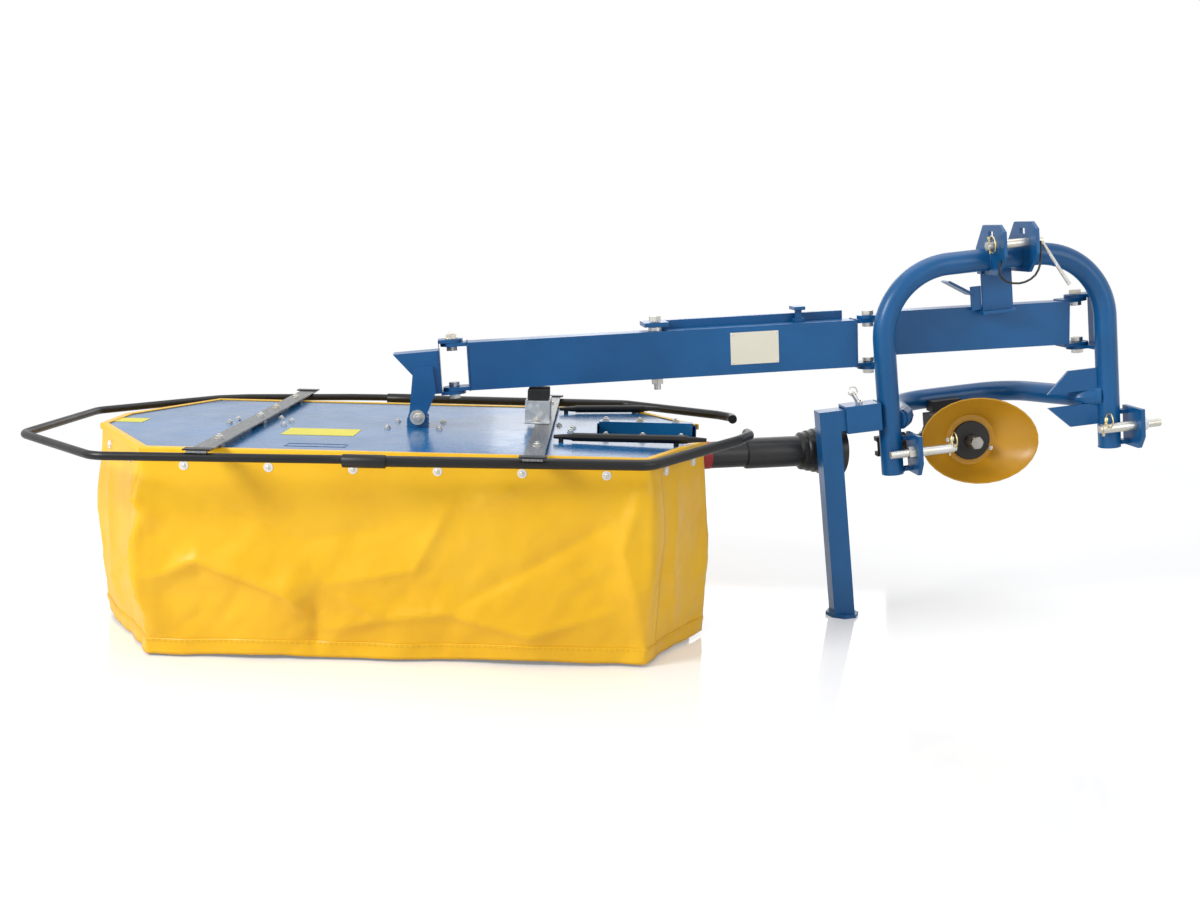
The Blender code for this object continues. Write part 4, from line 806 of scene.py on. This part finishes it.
def makeArm():
    refined("main_arm", bluePaint, 0.0060, 4)
    refined("pivot_head", bluePaint, 0.0030, 3)
    refined("safety_link", bluePaint, 0.0030, 3)
    refined("link_lock", bluePaint, 0.0016)
    refined("pivot_bolt", zinc, 0.0010)
    for node in ("head_lower_bolt", "head_upper_bolt", "link_bolt", "arm_lower_bolt", "arm_upper_bolt",
                 "beam_lower_bolt", "beam_upper_bolt"):
        refined(node, zinc, 0.0011)
    # blank name plate with its four rivets
    x0, x1, z0, z1 = armShape["plate"]
    front = -armShape["halfWidth"]
    shape = bmesh.new()
    addBlock(shape, (x0, front - 0.0012, z0), (x1, front - 0.0002, z1), armFrame)
    bevelled(fromMesh("name_plate", shape, creamPlate, "arm"), 0.0004)
    shape = bmesh.new()
    for x in (x0 + 0.006, x1 - 0.006):
        for z in (z0 + 0.006, z1 - 0.006):
            addDome(shape, armFrame @ Vector((x, front - 0.0012, z)), -acrossAxis, 0.0026, 0.0014)
    fromMesh("plate_rivets", shape, zinc, "arm", 40)
    low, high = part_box("pivot_bolt")
    shape = bmesh.new()
    reach = abs(acrossAxis.dot(low - high)) / 2
    for side in (-1, 1):
        out = acrossAxis * side
        addBolt(shape, (low + high) / 2 + out * (reach - 0.004), out, 0.024, 0.009)
    fromMesh("tilt_bolt_heads", shape, zinc, "deck_frame", 30)
    # collars and washers on the vertical bolts
    shape = bmesh.new()
    top = armShape["middle"] + armShape["height"] / 2
    bottom = armShape["middle"] - armShape["height"] / 2
    for z, way in ((top + 0.011, armUp), (bottom - 0.011, -armUp)):
        addLathe(shape, [(0.019, 0.0001), (0.019, 0.0016), (0.011, 0.0016)],
                 armFrame @ Vector((armShape["headHinge"], 0, z)), way, 28)
    addDome(shape, armFrame @ Vector((armShape["headHinge"], 0, top + 0.026)), armUp, 0.0085, 0.004)
    fromMesh("head_washers", shape, zinc, "arm", 30)
    # welds where lugs and plates meet the tube
    shape = bmesh.new()
    half = armShape["halfWidth"]
    for x in armShape["welds"]:
        for y in (-half, half):
            addWeld(shape, (x, y, bottom + 0.006), (x, y, top - 0.006), armFrame, 0.0030)
        for z in (bottom, top):
            addWeld(shape, (x, -half + 0.006, z), (x, half - 0.006, z), armFrame, 0.0030)
    fromMesh("arm_welds", shape, weldSteel, "arm", 60)
    print("arm made")


# Hitch frame

hitchShape = dict(hoopY=-0.100, hoop=0.03175, leftLeg=-0.672, rightLeg=-0.018, foot=-0.377, top=0.2055,
                  bend=0.200, bowZ=-0.222, bowBack=0.200, bow=0.02975, driveX=-0.417, driveZ=-0.318,
                  driveY=0.030, pinY=-0.151, pinZ=-0.312, clevis=(-0.354, -0.262), topPin=(-0.170, 0.246),
                  standPin=(-0.773, -0.130), socketWelds=(-0.238, -0.162))


def makeHoop():
    h = hitchShape
    y = h["hoopY"]
    hoop = pipe("hoop_tube", [(h["leftLeg"], y, h["foot"]), (h["leftLeg"], y, h["top"]),
                              (h["rightLeg"], y, h["top"]), (h["rightLeg"], y, h["foot"])],
                h["hoop"], bluePaint, "hitch_frame", hitchFrame, h["bend"], 22)
    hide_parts("hoop")
    for node, width in (("bow_tube", 0.0012), ("cross_beam", 0.0050), ("hinge_plate", 0.0016),
                        ("left_link_plate", 0.0016), ("right_link_plate", 0.0016),
                        ("left_clevis_plate", 0.0016), ("right_clevis_plate", 0.0016),
                        ("mast_strap", 0.0014), ("latch_lever", 0.0014), ("stand_socket", 0.0016)):
        refined(node, bluePaint, width, 3 if width > 0.002 else 2)
    inner = (h["leftLeg"] + h["hoop"] * 0.6, h["rightLeg"] - h["hoop"] * 0.6)
    reach = y + h["hoop"] * 0.2
    plan = [(inner[0], reach - 0.004), (h["leftLeg"] + 0.062, reach + 0.05), (-0.575, h["bowBack"]),
            (-0.200, h["bowBack"]), (h["rightLeg"] - 0.072, reach + 0.02), (inner[1], reach - 0.004)]
    pipe("bow_tube_skin", [(x, back, h["bowZ"]) for x, back in plan], h["bow"] + 0.0008, bluePaint,
         "hitch_frame", hitchFrame, 0.14, 16)
    for node in ("left_link_pin", "right_link_pin", "top_link_pin", "stand_pin"):
        refined(node, zinc, 0.0009)
    refined("stand_leg", bluePaint, 0.0045, 3)
    shape = bmesh.new()
    for legX, sign in ((h["leftLeg"], 1), (h["rightLeg"], -1)):
        for z in (h["pinZ"] - 0.061, h["pinZ"] + 0.029):
            edge = legX + sign * (h["hoop"] - 0.001)
            addWeld(shape, (edge, y - 0.010, z), (edge, y + 0.010, z), hitchFrame, 0.0028)
    for x in h["clevis"]:
        for side in (-0.006, 0.006):
            addWeld(shape, (x + side, y - h["hoop"] * 0.75, h["top"] + h["hoop"] * 0.66),
                    (x + side, y - h["hoop"], h["top"]), hitchFrame, 0.0026)
            addWeld(shape, (x + side, y - h["hoop"], h["top"]),
                    (x + side, y - h["hoop"] * 0.75, h["top"] - h["hoop"] * 0.66), hitchFrame, 0.0026)
    left = h["leftLeg"] - h["hoop"]
    for z in h["socketWelds"]:
        addWeld(shape, (left - 0.002, y - 0.030, z), (left - 0.002, y + 0.030, z), hitchFrame, 0.0030)
    fromMesh("hoop_welds", shape, weldSteel, "hitch_frame", 60)
    print("hoop made")


def ringCurve(name, centre, radius, axis, wire, material, gap):
    turn = Vector(axis).to_track_quat("Z", "Y").to_matrix()
    points = []
    count = 30
    for i in range(count + 1):
        angle = gap / 2 + (2 * pi - gap) * i / count
        points.append(Vector(centre) + turn @ Vector((radius * cos(angle), radius * sin(angle), 0)))
    pipe(name, points, wire, material, "hitch_frame", Matrix.Identity(4))


pinShape = dict(leftShoulder=-0.619, leftShank=-0.515, rightShoulder=0.048, rightShank=-0.056,
                threadGap=0.022, threadStep=0.0045, threads=9, wire=0.0021)


def addLinchPin(name, at, axis, shank, ringAt, ringRadius):
    # a turned shank and a sprung wire ring
    shape = bmesh.new()
    addLathe(shape, shank, at, axis, 16)
    fromMesh(name + "_pin", shape, yellowZinc, "hitch_frame", 40)
    ringCurve(name + "_ring", ringAt, ringRadius, hitchAlong, pinShape["wire"], yellowZinc, 0.5)


def makePins():
    h, p = hitchShape, pinShape
    lean = (hitchUp * 0.94 + hitchAlong * 0.2).normalized()
    shank = [(0.0030, -0.022), (0.0042, -0.019), (0.0042, 0.020), (0.0065, 0.021), (0.0065, 0.030),
             (0.0050, 0.033)]
    for side, sign in (("left", -1), ("right", 1)):
        at = hitchFrame @ Vector((p[side + "Shank"], h["pinY"], h["pinZ"]))
        addLinchPin(side + "_linch", at, lean, shank, at + lean * 0.027 - acrossAxis * 0.020, 0.021)
        shape = bmesh.new()
        for step in range(p["threads"]):
            x = p[side + "Shoulder"] + sign * (p["threadGap"] + step * p["threadStep"])
            addLathe(shape, [(0.0108, 0.0), (0.0117, 0.0012), (0.0117, 0.0020), (0.0108, 0.0032)],
                     hitchFrame @ Vector((x, h["pinY"], h["pinZ"])), hitchAlong * sign, 22)
        fromMesh(side + "_pin_thread", shape, zinc, "hitch_frame", 40)
    at = hitchFrame @ Vector((h["clevis"][0] - 0.023, h["topPin"][0], h["topPin"][1]))
    shank = [(0.0028, -0.022), (0.0038, -0.020), (0.0038, 0.018), (0.0062, 0.019), (0.0062, 0.026)]
    addLinchPin("top_linch", at, hitchUp, shank, at + hitchUp * 0.004 - acrossAxis * 0.018, 0.023)
    at = hitchFrame @ Vector((h["standPin"][0], h["hoopY"], h["standPin"][1]))
    ringCurve("stand_pin_ring", at + hitchUp * 0.006, 0.0125, acrossAxis, 0.0018, zinc, 0.3)
    print("pins made")


lanyardShape = dict(thickness=0.006, route=[
    (-0.238, -0.1858, 0.246), (-0.240, -0.191, 0.233), (-0.242, -0.195, 0.217), (-0.245, -0.198, 0.201),
    (-0.248, -0.200, 0.184), (-0.254, -0.201, 0.169), (-0.264, -0.202, 0.155), (-0.278, -0.202, 0.145),
    (-0.294, -0.202, 0.139), (-0.311, -0.202, 0.137), (-0.328, -0.202, 0.139), (-0.344, -0.202, 0.144),
    (-0.357, -0.202, 0.154), (-0.3655, -0.202, 0.168), (-0.3670, -0.202, 0.184), (-0.3623, -0.202, 0.199),
    (-0.3623, -0.202, 0.206)])


def makeLanyard():
    route, thickness = lanyardShape["route"], lanyardShape["thickness"]
    cord = pipe("lanyard", route, thickness / 2, blackPlastic, "hitch_frame", hitchFrame)
    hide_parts("pin_lanyard")
    print("lanyard made")


gearboxShape = dict(low=(-0.492, -0.010, -0.383), high=(-0.342, 0.140, -0.253), fins=7, finEdge=0.012,
                    capBolts=(0.5, 2.3, 3.9, 5.4), capCircle=0.037, splines=6)


def makeGearbox():
    h, g = hitchShape, gearboxShape
    low, high, edge = g["low"], g["high"], g["finEdge"]
    refined("gearbox", castIron, 0.0060, 4)
    refined("output_yoke", castIron, 0.0016)
    refined("shaft_guard_cone", ochrePlastic, 0.0008, 2)
    refined("input_stub", wornSteel, 0.0008)
    shape = bmesh.new()
    for k in range(g["fins"]):              # cooling fins along the back and the side
        x = low[0] + 0.014 + k * 0.0195
        addBlock(shape, (x, high[1] - 0.004, low[2] + edge), (x + 0.006, high[1] + 0.009, high[2] - edge),
                 hitchFrame)
        y = low[1] + 0.018 + k * 0.0170
        addBlock(shape, (high[0] - 0.004, y, low[2] + edge), (high[0] + 0.009, y + 0.0055, high[2] - edge),
                 hitchFrame)
    bevelled(fromMesh("gearbox_fins", shape, castIron, "hitch_frame"), 0.0015)
    shape = bmesh.new()
    for x in (low[0] + 0.016, high[0] - 0.016):
        for z in (low[2] + 0.016, high[2] - 0.016):
            addBolt(shape, hitchFrame @ Vector((x, low[1] - 0.0001, z)), -acrossAxis, 0.013, 0.006)
    for angle in g["capBolts"]:
        y, z = h["driveY"] + g["capCircle"] * cos(angle), h["driveZ"] + g["capCircle"] * sin(angle)
        addBolt(shape, hitchFrame @ Vector((low[0] - 0.0300, y, z)), -hitchAlong, 0.011, 0.005)
    addBolt(shape, hitchFrame @ Vector((low[0] + 0.030, h["driveY"], high[2])), hitchUp, 0.019, 0.009)
    for x, z in ((-0.069, 0.010), (0.0598, -0.030)):
        at = Vector((h["driveX"] + x, -0.0440, h["driveZ"] + z))
        addBolt(shape, hitchFrame @ at, -acrossAxis, 0.013, 0.006)
    fromMesh("gearbox_bolts", shape, zinc, "hitch_frame", 30)
    shape = bmesh.new()
    centre = hitchFrame @ Matrix.Translation((h["driveX"], 0, h["driveZ"]))
    for k in range(g["splines"]):
        turn = Matrix.Rotation(2 * pi * k / g["splines"], 4, "Y")
        addBlock(shape, (0.0160, -0.101, -0.0032), (0.0195, -0.058, 0.0032), centre @ turn)
    bevelled(fromMesh("input_splines", shape, wornSteel, "input"), 0.0006)
    print("gearbox made")


# Drive shaft

shaftShape = dict(tube=0.039, bell=0.078, inner=(1.235, 0.030, -0.186), outer=(0.5255, 0.016, -0.089))


def makeDriveShaft():
    start = levelFrame @ Vector(shaftShape["outer"])
    end = armFrame @ Vector(shaftShape["inner"])
    along = (end - start).normalized()
    length = (end - start).length - 0.006
    tube, bell = shaftShape["tube"], shaftShape["bell"]
    shape = bmesh.new()
    profile = [(0.012, -0.020), (0.012, -0.008), (0.022, -0.002), (0.022, 0.020), (0.041, 0.020),
               (0.043, 0.022), (0.043, 0.108), (0.041, 0.111), (tube, 0.118), (tube, 0.150)]
    for k in range(3):                      # moulded rings at the deck's end
        at = 0.155 + k * 0.012
        profile += [(tube, at), (tube + 0.0025, at + 0.002), (tube + 0.0025, at + 0.006), (tube, at + 0.008)]
    profile += [(tube, length - 0.296), (tube + 0.005, length - 0.294), (tube + 0.006, length - 0.290),
                (tube + 0.006, length - 0.132)]
    for k in range(5):                      # bellows-like ribs down to the bell's mouth
        at = length - 0.128 + k * 0.019
        grow = tube + 0.014 + (bell - tube - 0.016) * k / 5
        profile += [(grow - 0.003, at), (grow + 0.002, at + 0.003), (grow + 0.003, at + 0.013),
                    (grow, at + 0.016)]
    profile += [(bell - 0.001, length - 0.028), (bell, length - 0.024), (bell, length - 0.001),
                (bell - 0.001, length), (bell - 0.004, length), (bell - 0.006, length - 0.004),
                (tube, length - 0.098), (0.024, length - 0.098), (0.024, length - 0.02),
                (0.021, length - 0.016)]
    addLathe(shape, profile, start, along, 48)
    made = fromMesh("drive_shaft_guard", shape, blackPlastic, "shaft", 32)
    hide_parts("drive_shaft")
    # plain bands and a blank label
    label, bands = bmesh.new(), bmesh.new()
    sleeves = ((label, 0.200, 0.0002, 0.0009, 0.085), (bands, 0.200, 0.0010, 0.0014, 0.004),
               (bands, 0.281, 0.0010, 0.0014, 0.004), (bands, 0.315, 0.0002, 0.0010, 0.030))
    for shape, at, under, over, width in sleeves:
        addLathe(shape, [(tube + under, 0.0), (tube + over, 0.0002), (tube + over, width),
                         (tube + under, width + 0.0002)], start + along * at, along, 48)
    fromMesh("shaft_label", label, whiteLabel, "shaft", 32)
    fromMesh("shaft_bands", bands, redPlastic, "shaft", 32)
    print("drive shaft made")


makeRotors()
makeArm()
makeHoop()
makePins()
makeLanyard()
makeGearbox()
makeDriveShaft()


# Studio

studio = dict(floor=(0.90, 0.90, 0.90), lift=0.20, clearFrom=2.4, clearTo=5.0, world=0.42,
              key=160, fill=38, top=56, back=28)


def makeStudio():
    bpy.ops.mesh.primitive_plane_add(size=60, location=(0, 0, 0))
    floor = bpy.context.object
    floor.name = "floor"
    made, tree, shader, place = blankFinish("floor paper", studio["floor"], 0.07)
    cloud = noiseNode(tree, place, 0.6, 2)
    tree.links.new(ramp(tree, cloud, (0.3, (0.89, 0.89, 0.89)), (0.7, (0.92, 0.92, 0.92))),
                   shader.inputs["Base Color"])
    seen = tree.nodes.new("ShaderNodeLightPath")
    glow = tree.nodes.new("ShaderNodeEmission")
    glow.inputs["Strength"].default_value = studio["lift"]
    white = tree.nodes.new("ShaderNodeEmission")
    lifted = tree.nodes.new("ShaderNodeAddShader")
    away = tree.nodes.new("ShaderNodeVectorMath")
    away.operation = "LENGTH"
    far = tree.nodes.new("ShaderNodeMapRange")
    far.interpolation_type = "SMOOTHSTEP"
    far.inputs["From Min"].default_value = studio["clearFrom"]
    far.inputs["From Max"].default_value = studio["clearTo"]
    faded = tree.nodes.new("ShaderNodeMixShader")
    pick = tree.nodes.new("ShaderNodeMixShader")
    join(tree, (place, away.inputs[0]), (away.outputs["Value"], far.inputs["Value"]),
         (shader.outputs["BSDF"], lifted.inputs[0]), (glow.outputs["Emission"], lifted.inputs[1]),
         (far.outputs["Result"], faded.inputs["Fac"]), (lifted.outputs["Shader"], faded.inputs[1]),
         (white.outputs["Emission"], faded.inputs[2]), (seen.outputs["Is Camera Ray"], pick.inputs["Fac"]),
         (shader.outputs["BSDF"], pick.inputs[1]), (faded.outputs["Shader"], pick.inputs[2]),
         (pick.outputs["Shader"], tree.nodes["Material Output"].inputs["Surface"]))
    floor.data.materials.append(made)
    world = bpy.data.worlds.new("studio")
    bpy.context.scene.world = world
    world.use_nodes = True
    tree = world.node_tree
    tree.nodes.clear()
    seen = tree.nodes.new("ShaderNodeLightPath")
    soft = tree.nodes.new("ShaderNodeBackground")
    soft.inputs["Color"].default_value = (0.95, 0.97, 1.0, 1)
    soft.inputs["Strength"].default_value = studio["world"]
    white = tree.nodes.new("ShaderNodeBackground")
    white.inputs["Color"].default_value = (1, 1, 1, 1)
    pick = tree.nodes.new("ShaderNodeMixShader")
    out = tree.nodes.new("ShaderNodeOutputWorld")
    shown = tree.nodes.new("ShaderNodeMath")
    shown.operation = "MAXIMUM"
    join(tree, (seen.outputs["Is Camera Ray"], shown.inputs[0]),
         (seen.outputs["Is Glossy Ray"], shown.inputs[1]),
         (shown.outputs["Value"], pick.inputs["Fac"]), (soft.outputs["Background"], pick.inputs[1]),
         (white.outputs["Background"], pick.inputs[2]), (pick.outputs["Shader"], out.inputs["Surface"]))
    lamps = (("key", (-3.6, -2.6, 2.9), (0.0, 0.0, 0.3), 1.5, studio["key"]),
             ("fill", (3.4, -3.2, 2.2), (0.4, 0.0, 0.5), 2.4, studio["fill"]),
             ("top", (0.3, 0.6, 4.2), (0.2, 0.1, 0.3), 3.4, studio["top"]),
             ("back", (0.5, 4.2, 2.4), (0.2, 0.0, 0.5), 2.6, studio["back"]))
    for name, at, aim, size, power in lamps:
        lamp = placed(name, bpy.data.lights.new(name, "AREA"))
        lamp.data.size = size
        lamp.data.energy = power
        lamp.location = at
        lamp.rotation_euler = (Vector(aim) - Vector(at)).to_track_quat("-Z", "Y").to_euler()
    bpy.context.scene.view_settings.view_transform = "Standard"
    print("studio made")


makeStudio()
